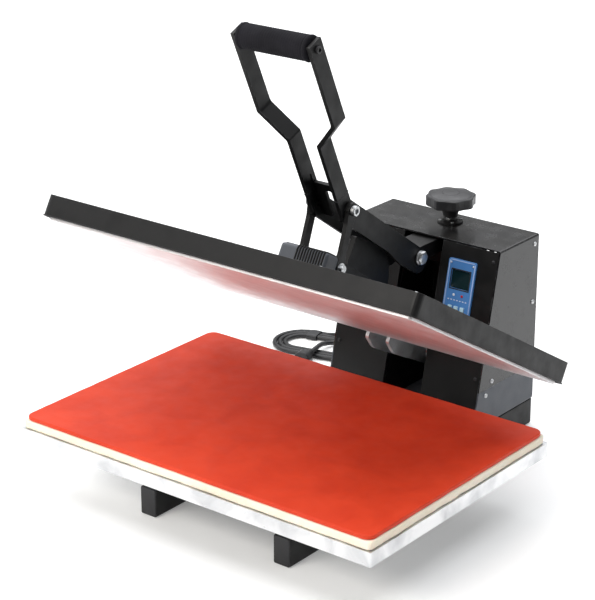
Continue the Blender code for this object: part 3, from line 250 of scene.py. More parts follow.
ROCKER = moulded("red switch rocker", "#b5201a", 0.25, 0.6 * MM, 0.004 * MM, "#c22a20")
MICA = moulded("pressed fibre board", "#cfc6ae", 0.9, 1.5 * MM, 0.08 * MM, "#b9ae93")
WELD = bare_metal("painted weld", "#2a2b2d", 0.45, (1, 1, 1), 0.03 * MM, "#1c1d1f")

FINISHES = {
    "black_coat": BLACK, "grey_coat": GREY, "zinc_steel": ZINC, "aluminium": PLATE, "foam": FOAM,
    "red_silicone": SILICONE, "black_plastic": PLASTIC, "cord_pvc": PVC, "grip_foam": RUBBER_FOAM,
    "blue_panel": FILM, "display": LENS, "pale_key": KEY, "red_rocker": ROCKER, "light_plastic": GREY,
    "insulation": MICA,
}
for part in frame["record"]["subparts"]:
    finish = FINISHES.get(part["material_slot"], BLACK)
    for slot in nodes[part["node"]].material_slots:
        slot.material = finish
for name, finish in (("lower_platen", CAST), ("housing_cover", SHELL), ("hinge_shaft", CHROME),
                     ("pressure_screw", CHROME), ("link_pin", CHROME), ("pressure_knob", KNOB_TOP)):
    for slot in nodes[name].material_slots:
        slot.material = finish


# ---- Shape tools --------------------------------------------------------------------------------
def place_mesh(name, bm, matrix, finish, body, smooth):
    """Turn a bmesh into an object that rides with a body."""
    bmesh.ops.transform(bm, matrix=matrix, verts=bm.verts)
    bmesh.ops.recalc_face_normals(bm, faces=bm.faces)
    mesh = bpy.data.meshes.new(name)
    bm.to_mesh(mesh)
    bm.free()
    mesh.materials.append(finish)
    obj = bpy.data.objects.new(name, mesh)
    bpy.context.scene.collection.objects.link(obj)
    mesh.shade_smooth()
    mesh.set_sharp_from_angle(angle=radians(smooth))
    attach(obj, body)
    return obj


ROUND = 0
SQUARE = 4
HEX = 6
CROSS = -1


def reach(radius, shape, angle):
    """Radius at an angle: round, a polygon of that many flats, or a cross."""
    if shape > 0:
        step = 2 * pi / shape
        return radius / cos((angle + step / 2) % step - step / 2)
    if shape == CROSS:
        return radius * max(0.34, abs(cos(2 * angle)) ** 5)
    return radius


def mm(*rings):
    """Rings of a turned piece given in millimetres; a ring's third number is its shape."""
    return [(radius * MM, height * MM, *shape) for radius, height, *shape in rings]


def both_ends(rim, middle=()):
    """A turned outline with the same end twice, in millimetres; rim runs from the end inwards."""
    return mm(*[(radius, -height, *shape) for radius, height, *shape in rim], *middle, *rim[::-1])


def lathe(name, profile, matrix, finish, body, sides=48, smooth=32):
    """A turned piece: (radius, height) from one end of its axis to the other. A third number makes
    that ring a polygon or a cross recess."""
    bm = bmesh.new()
    rings = []
    for entry in profile:
        radius, height, shape = (*entry, ROUND)[:3]
        if radius == 0:
            rings.append([bm.verts.new((0, 0, height))])
            continue
        ring = []
        for k in range(sides):
            angle = 2 * pi * k / sides
            r = reach(radius, shape, angle)
            ring.append(bm.verts.new((r * cos(angle), r * sin(angle), height)))
        rings.append(ring)
    for a, b in zip(rings, rings[1:]):
        for k in range(sides):
            n = (k + 1) % sides
            if len(a) == 1 and len(b) > 1:
                bm.faces.new((a[0], b[k], b[n]))
            elif len(b) == 1 and len(a) > 1:
                bm.faces.new((a[k], b[0], a[n]))
            elif len(a) > 1:
                bm.faces.new((a[k], b[k], b[n], a[n]))
    for ring, turn in ((rings[0], 1), (rings[-1], -1)):
        if len(ring) > 1:
            bm.faces.new(ring[::turn])
    return place_mesh(name, bm, matrix, finish, body, smooth)


def rounded(x0, y0, x1, y1, radius, steps=6):
    """Points of a rounded rectangle, anticlockwise."""
    points = []
    for cx, cy, first in ((x1 - radius, y1 - radius, 0), (x0 + radius, y1 - radius, 1),
                          (x0 + radius, y0 + radius, 2), (x1 - radius, y0 + radius, 3)):
        for k in range(steps + 1):
            angle = (first + k / steps) * pi / 2
            points.append((cx + radius * cos(angle), cy + radius * sin(angle)))
    return points


def slab(name, loops, matrix, finish, body, smooth=40):
    """A solid through stacked loops of equal point count; each loop is (points, height)."""
    bm = bmesh.new()
    rings = [[bm.verts.new((x, y, height)) for x, y in points] for points, height in loops]
    count = len(rings[0])
    for a, b in zip(rings, rings[1:]):
        for k in range(count):
            n = (k + 1) % count
            bm.faces.new((a[k], a[n], b[n], b[k]))
    bm.faces.new(rings[0][::-1])
    bm.faces.new(rings[-1])
    return place_mesh(name, bm, matrix, finish, body, smooth)


def pillow(name, box, low, high, edge, matrix, finish, body, corner=2 * MM):
    """A flat piece with a rounded rim on its upper side: box is (x0, y0, x1, y1)."""
    loops = []
    for k in range(5):
        angle = k / 4 * pi / 2
        inset = edge * (1 - cos(angle))
        height = high - edge + edge * sin(angle)
        x0, y0, x1, y1 = box
        turn = max(corner - inset, 0.2 * MM)
        loops.append((rounded(x0 + inset, y0 + inset, x1 - inset, y1 - inset, turn), height))
    loops.insert(0, (loops[0][0], low))
    return slab(name, loops, matrix, finish, body)


def wire(name, points, radius, finish, body, cyclic=False):
    """A round rod or tube along the points."""
    curve = bpy.data.curves.new(name, 'CURVE')
    curve.dimensions = '3D'
    curve.bevel_depth = radius
    curve.bevel_resolution = 5
    curve.use_fill_caps = True
    spline = curve.splines.new('POLY')
    spline.points.add(len(points) - 1)
    for point, place in zip(spline.points, points):
        point.co = (*place, 1)
    spline.use_cyclic_u = cyclic
    spline.use_smooth = True
    curve.materials.append(finish)
    obj = bpy.data.objects.new(name, curve)
    bpy.context.scene.collection.objects.link(obj)
    if body:
        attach(obj, body)
    return obj


def even(corners, pitch):
    """Evenly spaced points on a smooth curve through the corners."""
    corners = [Vector(c) for c in corners]
    ends = [2 * corners[0] - corners[1], *corners, 2 * corners[-1] - corners[-2]]
    fine = []
    for a, b, c, d in zip(ends, ends[1:], ends[2:], ends[3:]):
        for k in range(30):
            t = k / 30
            fine.append(0.5 * (2 * b + (c - a) * t + (2 * a - 5 * b + 4 * c - d) * t ** 2
                               + (3 * b - a - 3 * c + d) * t ** 3))
    fine.append(corners[-1])
    total = sum((b - a).length for a, b in zip(fine, fine[1:]))
    count = round(total / pitch)
    result = [fine[0]]
    run = 0.0
    for a, b in zip(fine, fine[1:]):
        piece = (b - a).length
        while len(result) < count and run + piece >= total / count * len(result):
            result.append(a.lerp(b, (total / count * len(result) - run) / piece))
        run += piece
    result.append(fine[-1])
    return result


def screw(name, point, axis, radius, finish, body, kind="cross"):
    """A fastener's head seated on a surface: cross or socket with its recess, or hex with a washer."""
    if kind == "cross":
        profile = [(radius * 1.04, -0.5 * MM), (radius, 0.25 * radius), (radius * 0.86, 0.48 * radius),
                   (radius * 0.6, 0.62 * radius), (radius * 0.56, 0.62 * radius, CROSS),
                   (radius * 0.42, 0.2 * radius, CROSS), (0, 0.15 * radius)]
    elif kind == "socket":
        profile = [(radius, -0.3 * MM), (radius, 0.62 * radius), (radius * 0.88, 0.75 * radius),
                   (radius * 0.5, 0.75 * radius, HEX), (radius * 0.48, 0.25 * radius, HEX), (0, 0.2 * radius)]
    else:
        profile = [(radius * 1.35, -0.3 * MM), (radius * 1.35, 0.16 * radius), (radius * 1.02, 0.17 * radius),
                   (radius * 0.94, 0.2 * radius, HEX), (radius * 0.94, 0.74 * radius, HEX),
                   (radius * 0.86, 0.9 * radius), (radius * 0.5, 0.92 * radius),
                   (radius * 0.46, 0.84 * radius), (0, 0.84 * radius)]
    return lathe(name, profile, facing(point, axis), finish, body)


def weld_bead(name, first, last, radius, body):
    """A run of overlapping puddles between two points."""
    first, last = Vector(first), Vector(last)
    count = max(8, round((last - first).length / (1.1 * MM)))
    points = [first.lerp(last, k / count) for k in range(count + 1)]
    bead = wire(name + "_run", points, radius, WELD, None)
    for k, point in enumerate(bead.data.splines[0].points):
        point.radius = 0.84 + 0.2 * abs(sin(k * pi / 4)) + 0.1 * noise.noise((k * 0.7, 0, radius))
    bpy.context.view_layer.update()
    mesh = bpy.data.meshes.new_from_object(bead.evaluated_get(bpy.context.evaluated_depsgraph_get()))
    bpy.data.objects.remove(bead)
    made = bpy.data.objects.new(name, mesh)
    bpy.context.scene.collection.objects.link(made)
    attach(made, body)


# ---- Mains cord, hank and plug --------------------------------------------------------------------
CORD = 4 * MM
LIE = 4.3 * MM
hank = Matrix.Translation((-0.290, 0.362, 0)) @ Matrix.Rotation(radians(12), 4, 'Z')
TURNS = 2.93
TURN_STEP = 8.7 * MM
STRAIGHT = 43 * MM
HANK_RADIUS = 48 * MM
HANK_START = 0.035
BEND = 24 * MM


def hank_point(turns):
    """A point of the flat oval spiral, anticlockwise from the middle of its far side, inwards."""
    radius = HANK_RADIUS - TURN_STEP * turns
    around = 4 * STRAIGHT + 2 * pi * radius
    run = (turns % 1) * around
    for kind in ("top", "left", "bottom", "right", "last"):
        length = {"top": STRAIGHT, "bottom": 2 * STRAIGHT, "last": STRAIGHT + 1}.get(kind, pi * radius)
        if run <= length:
            break
        run -= length
    if kind == "top":
        x, y = -run, radius
    elif kind == "bottom":
        x, y = -STRAIGHT + run, -radius
    elif kind == "last":
        x, y = STRAIGHT - run, radius
    else:
        side = -1 if kind == "left" else 1
        angle = run / radius
        x, y = side * (STRAIGHT + radius * sin(angle)), -side * radius * cos(angle)
    return Vector((x, y, LIE))


exit_point = Vector((-0.080, BACK_Y + 17.6 * MM, 0.072))
lead = [exit_point, exit_point + Vector((0, 9 * MM, 0)), exit_point + Vector((0, 18 * MM, -1 * MM)),
        (-0.084, BACK_Y + 0.058, 0.056), (-0.096, BACK_Y + 0.082, 0.030), (-0.116, BACK_Y + 0.104, 0.011),
        (-0.146, BACK_Y + 0.125, LIE), (-0.190, BACK_Y + 0.138, LIE)]
lead += [hank @ Vector((x * MM, y * MM, LIE)) for x, y in ((62, 86), (32, 76), (6, 61), (-10, 51.5))]
coil = [hank @ hank_point(HANK_START + (TURNS - HANK_START) * k / 110) for k in range(111)]
# over the turns and out to the plug
leave = hank_point(TURNS)
centre = Vector((leave.x, leave.y - BEND, 0))
out = []
for k in range(1, 7):
    angle = k / 6 * pi / 2
    rise = 8.6 * MM * (k / 9) ** 1.3
    out.append(Vector((centre.x - BEND * sin(angle), centre.y + BEND * cos(angle), LIE + rise)))
end_x = out[-1].x
out += [Vector((end_x, centre.y - y * MM, LIE + z * MM))
        for y, z in ((9, 7.6), (18, 8.8), (27, 9.1), (38, 9.0), (50, 9.0))]
cord_points = even([*lead, *coil[:2]], 9 * MM)[:-1]
cord_points += coil[1:]
cord_points += even([coil[-1], *[hank @ p for p in out]], 6 * MM)[1:]
mains_cord = wire("mains_cord_sheath", cord_points, CORD, PVC, "base")
plug_place = (hank @ Matrix.Translation((end_x, centre.y - 50 * MM, LIE + 9 * MM))
              @ Matrix.Rotation(pi / 2, 4, 'X'))
boot = mm((4.1, 0), (5.4, 0))
for k in range(5):
    z = 2 + 2.6 * k
    r = 5.6 + 0.35 * k
    boot += mm((r, z), (r, z + 1.4), (r - 1, z + 1.5), (r - 1, z + 2.5))
boot += mm((9, 16), (13.2, 21), (12.8, 26), (13.2, 30), (13.2, 35), (12.4, 36.2), (0, 36.2))
plug = lathe("plug_body", boot, plug_place, PVC, "base")
for k, side in enumerate((-1, 1), 1):
    at = plug_place @ Matrix.Translation((side * 6.5 * MM, 0, 36 * MM))
    profile = mm((2.4, 0), (2.4, 9.5), (2.2, 10.6), (0, 11))
    lathe("plug_pin_%d" % k, profile, at, CHROME, "base", 20)
tie_loops = []
for k in range(7):
    swell = 0.5 * MM * sin(k / 6 * pi)
    outline = rounded(-13.6 * MM - swell, -4.7 * MM, 13.6 * MM + swell, 4.7 * MM + swell, 4.2 * MM)
    tie_loops.append((outline, (k - 3) * 3 * MM))
tie_place = (hank @ Matrix.Translation((-38 * MM, 35.5 * MM, LIE + 0.5 * MM))
             @ Matrix.Rotation(pi / 2, 4, 'Y') @ Matrix.Rotation(pi / 2, 4, 'Z'))
tie = slab("cord_tie", tie_loops, tie_place, PLASTIC, "base")
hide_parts("mains_cord", "cord_hank")
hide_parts("mains_plug")


# ---- Base: pads, tube plugs ------------------------------------------------------------------------
def pad(name, node, edge, corner, finish, wobble):
    """A soft layer of the bed: many points round its rim, slightly uneven, with an eased edge."""
    low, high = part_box(node)
    loops = []
    steps = 5
    for k in range(2 * steps):
        lower = k < steps
        angle = (k / (steps - 1) if lower else (2 * steps - 1 - k) / (steps - 1)) * pi / 2
        inset = edge * (1 - sin(angle))
        height = low.z + edge * (1 - cos(angle)) if lower else high.z - edge * (1 - cos(angle))
        raw = rounded(low.x + inset, low.y + inset, high.x - inset, high.y - inset, corner, 12)
        fine = []
        for a, b in zip(raw, raw[1:] + raw[:1]):
            a, b = Vector(a), Vector(b)
            cuts = max(1, round((b - a).length / (6 * MM)))
            fine += [a.lerp(b, c / cuts) for c in range(cuts)]
        centre = Vector(((low.x + high.x) / 2, (low.y + high.y) / 2))
        moved = []
        for p in fine:
            push = wobble * (noise.noise((p.x * 40, p.y * 40, height * 60)) - 0.5)
            moved.append(p + (centre - p).normalized() * abs(push))
        loops.append((moved, height))
    soft = slab(name, loops, Matrix(), finish, "base", 60)
    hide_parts(node)


pad("silicone_sheet", "silicone_pad", 1.6 * MM, 13 * MM, SILICONE, 0.7 * MM)
pad("foam_layer", "foam_pad", 2.0 * MM, 6 * MM, FOAM, 1.6 * MM)


def tube_plug(name, place, half_x, half_y):
    """A ribbed nylon plug in the end of a square tube."""
    tube_wall = 2.4 * MM
    box = (-half_x, -half_y, half_x, half_y)
    pillow(name, box, -0.2 * MM, 2.2 * MM, 1.4 * MM, place, PLASTIC, "base", 2.6 * MM)
    loops = []
    for k in range(5):
        grow = 0 if k % 2 else 0.5 * MM
        inset = tube_wall - grow
        inner = rounded(-half_x + inset, -half_y + inset, half_x - inset, half_y - inset, 1.6 * MM)
        loops.append((inner, (-12 + 3 * k) * MM))
    slab(name + "_ribs", loops, place, PLASTIC, "base")


for side, x in (("left", -RAIL_X), ("right", RAIL_X)):
    tube_plug("rail_plug_front_" + side, facing((x, -0.2625, 0.021), (0, -1, 0)), 13.2 * MM, 20.7 * MM)
    tube_plug("rail_plug_rear_" + side, facing((x, BACK_Y, 0.021), (0, 1, 0)), 13.2 * MM, 20.7 * MM)
    sign = 1 if x > 0 else -1
    for end in ("front", "rear"):
        low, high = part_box("bed_support_" + end)
        middle = (low + high) / 2
        tube_end = facing((sign * high.x, middle.y, middle.z), (sign, 0, 0))
        tube_plug("support_plug_%s_%s" % (end, side), tube_end,
                  (high.z - low.z) / 2 - 0.3 * MM, (high.y - low.y) / 2 - 0.3 * MM)
        y = middle.y
        weld_bead("support_weld_%s_%s" % (end, side), (x - sign * 13.7 * MM, y - 17 * MM, 0.0423),
                  (x - sign * 13.7 * MM, y + 17 * MM, 0.0423), 1.8 * MM, "base")

# ---- Housing fittings -------------------------------------------------------------------------------
side_screws = [(0.205, 0.108), (0.262, 0.108), (0.308, 0.108), (0.190, 0.090), (0.308, 0.090),
               (0.308, 0.290), (0.308, 0.200)]
for sign, side in ((-1, "left"), (1, "right")):
    for k, (y, z) in enumerate(side_screws, 1):
        point = (sign * HOUSING_HALF, y, z)
        screw("side_screw_%s_%d" % (side, k), point, (sign, 0, 0), 3.3 * MM, ZINC, "base")
    for k, z in enumerate((0.118, 0.196, 0.286), 1):
        seat = front_frame(sign * 0.1225, z)
        outwards = seat.to_3x3() @ Vector((0, 0, 1))
        screw("front_screw_%s_%d" % (side, k), seat.to_translation(), outwards, 2.6 * MM, PLASTIC, "base")
for k, (x, z) in enumerate(((-0.118, 0.290), (0.118, 0.290), (-0.118, 0.056), (0.118, 0.056), (0, 0.056)), 1):
    screw("back_screw_%d" % k, (x, BACK_Y, z), (0, 1, 0), 3.0 * MM, ZINC, "base")

# a folded louvre lip under each vent slot
for k in range(10):
    x = 13 * MM * (k - 4.5)
    lip = [(x - 3.2 * MM, BACK_Y - 0.3 * MM, 0.2335), (x, BACK_Y + 0.4 * MM, 0.2325),
           (x + 3.2 * MM, BACK_Y - 0.3 * MM, 0.2335)]
    wire("vent_lip_%d" % (k + 1), even(lip, 1 * MM), 0.7 * MM, BLACK, "base")

# screw-in fuse carrier beside the switch
fuse = mm((9.5, -1), (9.5, 1.2), (8.8, 2), (7, 2.2), (6.8, 8), (6.2, 9), (4.4, 9.2), (4.2, 8.4, SQUARE),
          (1.2, 8.2), (0, 8.2))
lathe("fuse_carrier", fuse, facing((0.092, BACK_Y, 0.095), (0, 1, 0)), PLASTIC, "base")
# the switch's on bar and off ring, in print
ring = []
for k in range(24):
    angle = 2 * pi * k / 24
    ring.append((SWITCH_X + 1.3 * MM * cos(angle), BACK_Y + 3.0 * MM, 0.0992 + 1.3 * MM * sin(angle)))
wire("switch_off_ring", ring, 0.35 * MM, PRINT, "rocker", True)
bar = [(SWITCH_X, BACK_Y + 2.3 * MM, 0.0868 + k * 0.7 * MM) for k in range(6)]
wire("switch_on_bar", bar, 0.4 * MM, PRINT, "rocker")

# clamp ring on the roof, round the screw's bush
flange = mm((19, 0), (19, 1.8), (18, 2.6), (13.4, 2.8), (12.2, 3.6), (11.6, 3.6), (11.6, 0))
lathe("bush_flange", flange, Matrix.Translation((0, SCREW_Y, ROOF_Z)), BLACK, "base")
for k in range(4):
    angle = pi / 4 + k * pi / 2
    point = (15.6 * MM * cos(angle), SCREW_Y + 15.6 * MM * sin(angle), ROOF_Z + 2.6 * MM)
    screw("bush_screw_%d" % (k + 1), point, (0, 0, 1), 2.1 * MM, ZINC, "base", "socket")

# ---- Knob: domed cap on its lobed head ------------------------------------------------------------------
low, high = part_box("pressure_knob")
top = Matrix.Translation((0, SCREW_Y, high.z))
dome = mm((31, -1.5), (31, 0.1), (29, 0.9), (24, 1.9), (16, 2.9), (13.4, 3.0), (13.0, 2.6), (12.4, 3.2),
          (7, 3.7), (0, 3.9))
lathe("knob_dome", dome, top, KNOB_TOP, "pressure_knob", 64)

# ---- Controller ---------------------------------------------------------------------------------------
panel = front_frame(0.074, 0.237)
FACE = 3.3 * MM
WINDOW = 2.42 * MM


def strip(name, x0, y0, x1, y1, height, finish, corner=0.4 * MM, rise=0.12 * MM):
    """A thin raised print or film on the controller's face, its corners in millimetres."""
    box = (x0 * MM, y0 * MM, x1 * MM, y1 * MM)
    pillow(name, box, height, height + rise, min(rise * 0.8, 0.3 * MM), panel, finish, "base", corner)


for name, x0, y0, x1, y1 in (("left", -22.4, -40, -20.6, 40), ("right", 20.6, -40, 22.4, 40),
                             ("top", -20.2, 40.2, 20.2, 41.8), ("bottom", -20.2, -41.8, 20.2, -40.2)):
    strip("film_border_" + name, x0, y0, x1, y1, FACE, FILM_EDGE)
for name, x0, y0, x1, y1 in (("left", -17.2, 0, -15.5, 28), ("right", 15.5, 0, 17.2, 28),
                             ("top", -17.2, 27.5, 17.2, 29.2), ("bottom", -17.2, -1.2, 17.2, 0.5)):
    strip("display_rim_" + name, x0, y0, x1, y1, FACE, PLASTIC, 0.4 * MM, 0.5 * MM)
for row, (y, height) in enumerate(((16.5, 8), (5.0, 7)), 1):
    middle = height / 2
    bars = ((0, 0, 4, 0.7), (0, height - 0.7, 4, height), (0, 0.9, 0.7, height - 0.9),
            (3.3, 0.9, 4, height - 0.9), (0.9, middle - 0.35, 3.1, middle + 0.35))
    for k in range(3):
        x = -9.5 + 7.4 * k
        for m, (x0, y0, x1, y1) in enumerate(bars):
            strip("segment_%d_%d_%d" % (row, k, m), x + x0, y + y0, x + x1, y + y1, WINDOW, SEGMENT,
                  0.2 * MM, 0.05 * MM)
for k, (x, finish) in enumerate(((-7, PRINT), (7, ROCKER)), 1):
    lamp = panel @ Matrix.Translation((x * MM, -9 * MM, FACE))
    lathe("lamp_%d" % k, mm((1.9, 0), (1.9, 0.5), (1.3, 1.1), (0, 1.3)), lamp, finish, "base", 24)
for k in range(7):
    x = -15 + 5 * k
    strip("row_mark_%d" % k, x - 1.5, -17.2, x + 1.2, -15.8, FACE, PRINT)
for k in (-1, 0, 1):
    x = 10.5 * k
    strip("key_ring_%d" % (k + 2), x - 4.4, -37.6, x + 4.4, -36.6, FACE, PRINT)
    strip("key_mark_%d" % (k + 2), x - 2.2, -35.4, x + 2.2, -34.4, FACE, FILM_EDGE)
for k, (x, y) in enumerate(((-19, 37), (19, 37), (-19, -37), (19, -37)), 1):
    point = panel @ Vector((x * MM, y * MM, FACE))
    screw("panel_screw_%d" % k, point, panel.to_3x3() @ Vector((0, 0, 1)), 1.5 * MM, ZINC, "base")

# ---- Upper platen: cover screws, terminal box, bracket bolts, welds --------------------------------------
UP = HEAD.to_3x3() @ Vector((0, 0, 1))
COVER_TOP = 33 * MM
cover_screws = [(x, y) for y in (20, 207, 394) for x in (-290, 0, 290) if (x, y) != (0, 207)]
cover_screws += [(-145, 20), (145, 20)]
for k, (x, y) in enumerate(cover_screws, 1):
    point = HEAD @ Vector((x * MM, y * MM, COVER_TOP))
    screw("cover_screw_%d" % k, point, UP, 3.4 * MM, ZINC, "upper_platen")
for k, (x, y) in enumerate(((-31, 272), (31, 272), (-31, 392), (31, 392)), 1):
    point = HEAD @ Vector((x * MM, y * MM, COVER_TOP + 4.3 * MM))
    screw("bracket_bolt_%d" % k, point, UP, 5 * MM, ZINC, "upper_platen", "hex")
for sign, side in ((-1, "left"), (1, "right")):
    for k, x in enumerate((9, 14.6), 1):
        weld_bead("ear_weld_%s_%d" % (side, k), HEAD @ Vector((sign * x * MM, 0.206, COVER_TOP + 4.4 * MM)),
                  HEAD @ Vector((sign * x * MM, 0.388, COVER_TOP + 4.4 * MM)), 1.5 * MM, "upper_platen")
    for k, (y, z) in enumerate(((372, 52), (398, 58)), 1):
        rivet = (HEAD @ Matrix.Translation((sign * 20.7 * MM, y * MM, z * MM))
                 @ Matrix.Rotation(sign * pi / 2, 4, 'Y'))
        profile = mm((6, 0), (6, 0.4), (5, 0.9), (0, 1.1))
        lathe("arm_rivet_%s_%d" % (side, k), profile, rivet, ZINC, "upper_platen")

# cover's folded rim seam along the lower edge
seam = [HEAD @ Vector((x * MM, y * MM, 3.4 * MM)) for x, y in rounded(-310.3, -0.3, 310.3, 414.3, 9, 8)]
wire("cover_hem", seam, 0.9 * MM, BLACK, "upper_platen", True)

# terminal box across the front of the bracket: grey cap at its left end, ribbed cover to its right
low_x, front_y, rear_y, crown = -27 * MM, 158 * MM, 189 * MM, COVER_TOP + 35.3 * MM
for k in range(11):
    x = 3 * MM + 4.4 * MM * k
    rib = [(front_y - 0.3 * MM, COVER_TOP + 2 * MM), (front_y - 0.4 * MM, crown - 5 * MM),
           (front_y + 1.6 * MM, crown - 1.0 * MM), (front_y + 6 * MM, crown + 0.3 * MM),
           (rear_y - 6 * MM, crown + 0.3 * MM), (rear_y - 1.6 * MM, crown - 1.0 * MM)]
    course = even([HEAD @ Vector((x, y, z)) for y, z in rib], 2.5 * MM)
    wire("cover_rib_%d" % (k + 1), course, 1.3 * MM, BLACK, "upper_platen")
lid = HEAD @ Matrix.Translation((0, (front_y + rear_y) / 2, crown - 0.6 * MM))
lid_box = (low_x + 4 * MM, -11 * MM, -1 * MM, 11 * MM)
pillow("terminal_lid", lid_box, 0, 1.6 * MM, 1.2 * MM, lid, GREY, "upper_platen", 3 * MM)
for k, x in enumerate((-19, -5), 1):
    screw("lid_screw_%d" % k, lid @ Vector((x * MM, 0, 1.6 * MM)), UP, 2.0 * MM, ZINC, "upper_platen")
gland = mm((6.4, -1), (6.4, 1.5, HEX), (6.4, 5, HEX), (5.4, 6), (5, 9), (3.4, 9.6), (3.3, 3))
gland_place = HEAD @ facing((46 * MM, rear_y, COVER_TOP + 12.3 * MM), (0, 1, 0))
lathe("terminal_gland", gland, gland_place, PLASTIC, "upper_platen")

# ---- Hinge: springs and spacers on the shaft ----------------------------------------------------------
for sign, side in ((-1, "left"), (1, "right")):
    spring = []
    for k in range(4 * 20 + 1):
        angle = 2 * pi * k / 20
        x = sign * (24.5 + 10.0 * k / 80) * MM
        spring.append(Vector((x, HINGE.y + 12.2 * MM * cos(angle), HINGE.z + 12.2 * MM * sin(angle))))
    wire("hinge_spring_" + side, spring, 1.15 * MM, ZINC, "base")
    spacer = Matrix.Translation((sign * 21.4 * MM, HINGE.y, HINGE.z)) @ Matrix.Rotation(sign * pi / 2, 4, 'Y')
    washer = mm((8.5, 0), (14, 0), (14.4, 0.4), (14, 1.4), (8.5, 1.4))
    lathe("hinge_washer_" + side, washer, spacer, CHROME, "base")
centre_sleeve = Matrix.Translation((-14.6 * MM, HINGE.y, HINGE.z)) @ Matrix.Rotation(pi / 2, 4, 'Y')
tube = mm((8.4, 0), (12.6, 0), (13.2, 0.7), (13.2, 28.5), (12.6, 29.2), (8.4, 29.2))
lathe("hinge_sleeve", tube, centre_sleeve, CHROME, "base")


# ---- Bolts of the toggle and the handle -----------------------------------------------------------------
def side_bolts(node, point, start_x, radius, body, kind):
    """Finished heads and shanks of a pair of bolts; gives back the heads."""
    made = []
    for sign, side in ((-1, "left"), (1, "right")):
        at = (sign * start_x, point.y, point.z)
        made.append(screw("%s_%s_head" % (node, side), at, (sign, 0, 0), radius, ZINC, body, kind))
        shank = Matrix.Translation(at) @ Matrix.Rotation(-sign * pi / 2, 4, 'Y')
        profile = mm((4.6, -0.2), (4.6, 5.6), (4, 6.1), (0, 6.1))
        lathe("%s_%s_shank" % (node, side), profile, shank, ZINC, body, 24)
    return made


OUTER_FACE = 35.6 * MM
SIDES = ("left", "right")
for made, side in zip(side_bolts("knee_bolt", KNEE, OUTER_FACE, 7.6 * MM, "handle", "socket"), SIDES):
    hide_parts("knee_bolt_" + side)
for made, side in zip(side_bolts("link_bolt", LINK_END, OUTER_FACE, 6.0 * MM, "toggle_links", "hex"), SIDES):
    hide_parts("link_bolt_" + side)
pivot_end = ((0, 36.8), (5, 36.8), (8.2, 36.4), (9, 35.4, HEX), (9, 31.4, HEX), (10.6, 31.2), (10.6, 29.2),
             (6, 29.2))
pivot_place = Matrix.Translation(PIVOT) @ Matrix.Rotation(pi / 2, 4, 'Y')
pivot_bolt = lathe("pivot_bolt_and_nut", both_ends(pivot_end), pivot_place, ZINC, "pressure_block")
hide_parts("fixed_pivot_bolt")

GRIP = BAR @ Matrix.Translation((0, -4 * MM, 278 * MM))
for sign, side in ((-1, "left"), (1, "right")):
    point = GRIP @ Vector((sign * 65 * MM, 0, 0))
    screw("grip_bolt_" + side, point, (sign, 0, 0), 5.2 * MM, PLASTIC, "handle", "socket")
    # bar welded to the arm's upper end
    for k, y in enumerate((8.7, -16.7), 1):
        weld_bead("bar_weld_%s_%d" % (side, k), BAR @ Vector((sign * 22.4 * MM, y * MM, 26.2 * MM)),
                  BAR @ Vector((sign * 28.0 * MM, y * MM, 26.2 * MM)), 1.2 * MM, "handle")
    weld_bead("web_weld_" + side, BAR @ Vector((sign * 21.8 * MM, 0.2 * MM, 0)),
              BAR @ Vector((sign * 21.8 * MM, 0.2 * MM, 50 * MM)), 1.1 * MM, "handle")

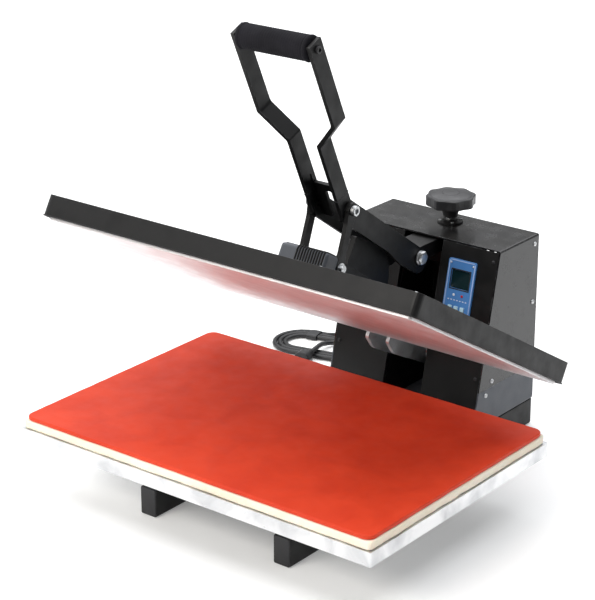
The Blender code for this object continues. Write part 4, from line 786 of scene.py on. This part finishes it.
grip_half = 57.5
grip_end = [(8.3, grip_half), (15.6, grip_half), (17.4, grip_half - 1.2), (18, grip_half - 3.4),
            (17.6, grip_half - 5.4), (16.7, grip_half - 6.4)]
grip_ribs = []
for k in range(26):
    z = (grip_half - 8) * (2 * k / 25 - 1)
    grip_ribs += [(17.0, z - 1.1), (17.35, z), (17.0, z + 1.1)]
grip_place = GRIP @ Matrix.Rotation(pi / 2, 4, 'Y')
grip = lathe("foam_grip", both_ends(grip_end, grip_ribs), grip_place, RUBBER_FOAM, "handle", 72, 50)
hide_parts("handle_grip")

# ---- Floor and light ------------------------------------------------------------------------------------
floor_mesh = bpy.data.meshes.new("floor")
floor_corners = [(x * 12, y * 12, 0) for x, y in ((-1, -1), (1, -1), (1, 1), (-1, 1))]
floor_mesh.from_pydata(floor_corners, [], [(0, 1, 2, 3)])
floor = bpy.data.objects.new("floor", floor_mesh)
bpy.context.scene.collection.objects.link(floor)
floor_mat, _, floor_shader, _ = start("white paper sweep")
floor_shader.inputs["Base Color"].default_value = linear("#f4f4f3")
floor_shader.inputs["Roughness"].default_value = 0.85
floor_shader.inputs["Emission Color"].default_value = (1, 1, 1, 1)
floor_shader.inputs["Emission Strength"].default_value = 0.16
floor_mesh.materials.append(floor_mat)

world = bpy.data.worlds.new("studio")
world.use_nodes = True
world_tree = world.node_tree
background = world_tree.nodes["Background"]
background.inputs["Color"].default_value = linear("#fbfcfd")
# the studio is darker on the press's right side
toward = add(world_tree, "SeparateXYZ", {0: add(world_tree, "TexCoord").outputs["Generated"]}).outputs["X"]
world_tree.links.new(span(world_tree, toward, -0.1, 0.7, 0.44, 0.08), background.inputs["Strength"])
bpy.context.scene.world = world
bpy.context.scene.view_settings.view_transform = 'Standard'


def softbox(name, place, target, width, height, power, colour):
    """A rectangular studio light aimed at a point."""
    light = bpy.data.lights.new(name, 'AREA')
    light.shape = 'RECTANGLE'
    light.size = width
    light.size_y = height
    light.energy = power
    light.color = linear(colour)[:3]
    obj = bpy.data.objects.new(name, light)
    obj.location = place
    obj.rotation_euler = (Vector(target) - Vector(place)).to_track_quat('-Z', 'Y').to_euler()
    bpy.context.scene.collection.objects.link(obj)


softbox("ceiling", (-1.5, 2.2, 4.6), (-1.5, 2.2, 0), 9.0, 9.0, 560, "#fbfcff")
softbox("key", (-0.6, -3.0, 2.2), (0, -0.1, 0.15), 1.6, 1.0, 62, "#fffaf3")
softbox("left", (-2.6, -0.6, 1.0), (0, 0.1, 0.2), 1.0, 1.0, 10, "#ffffff")
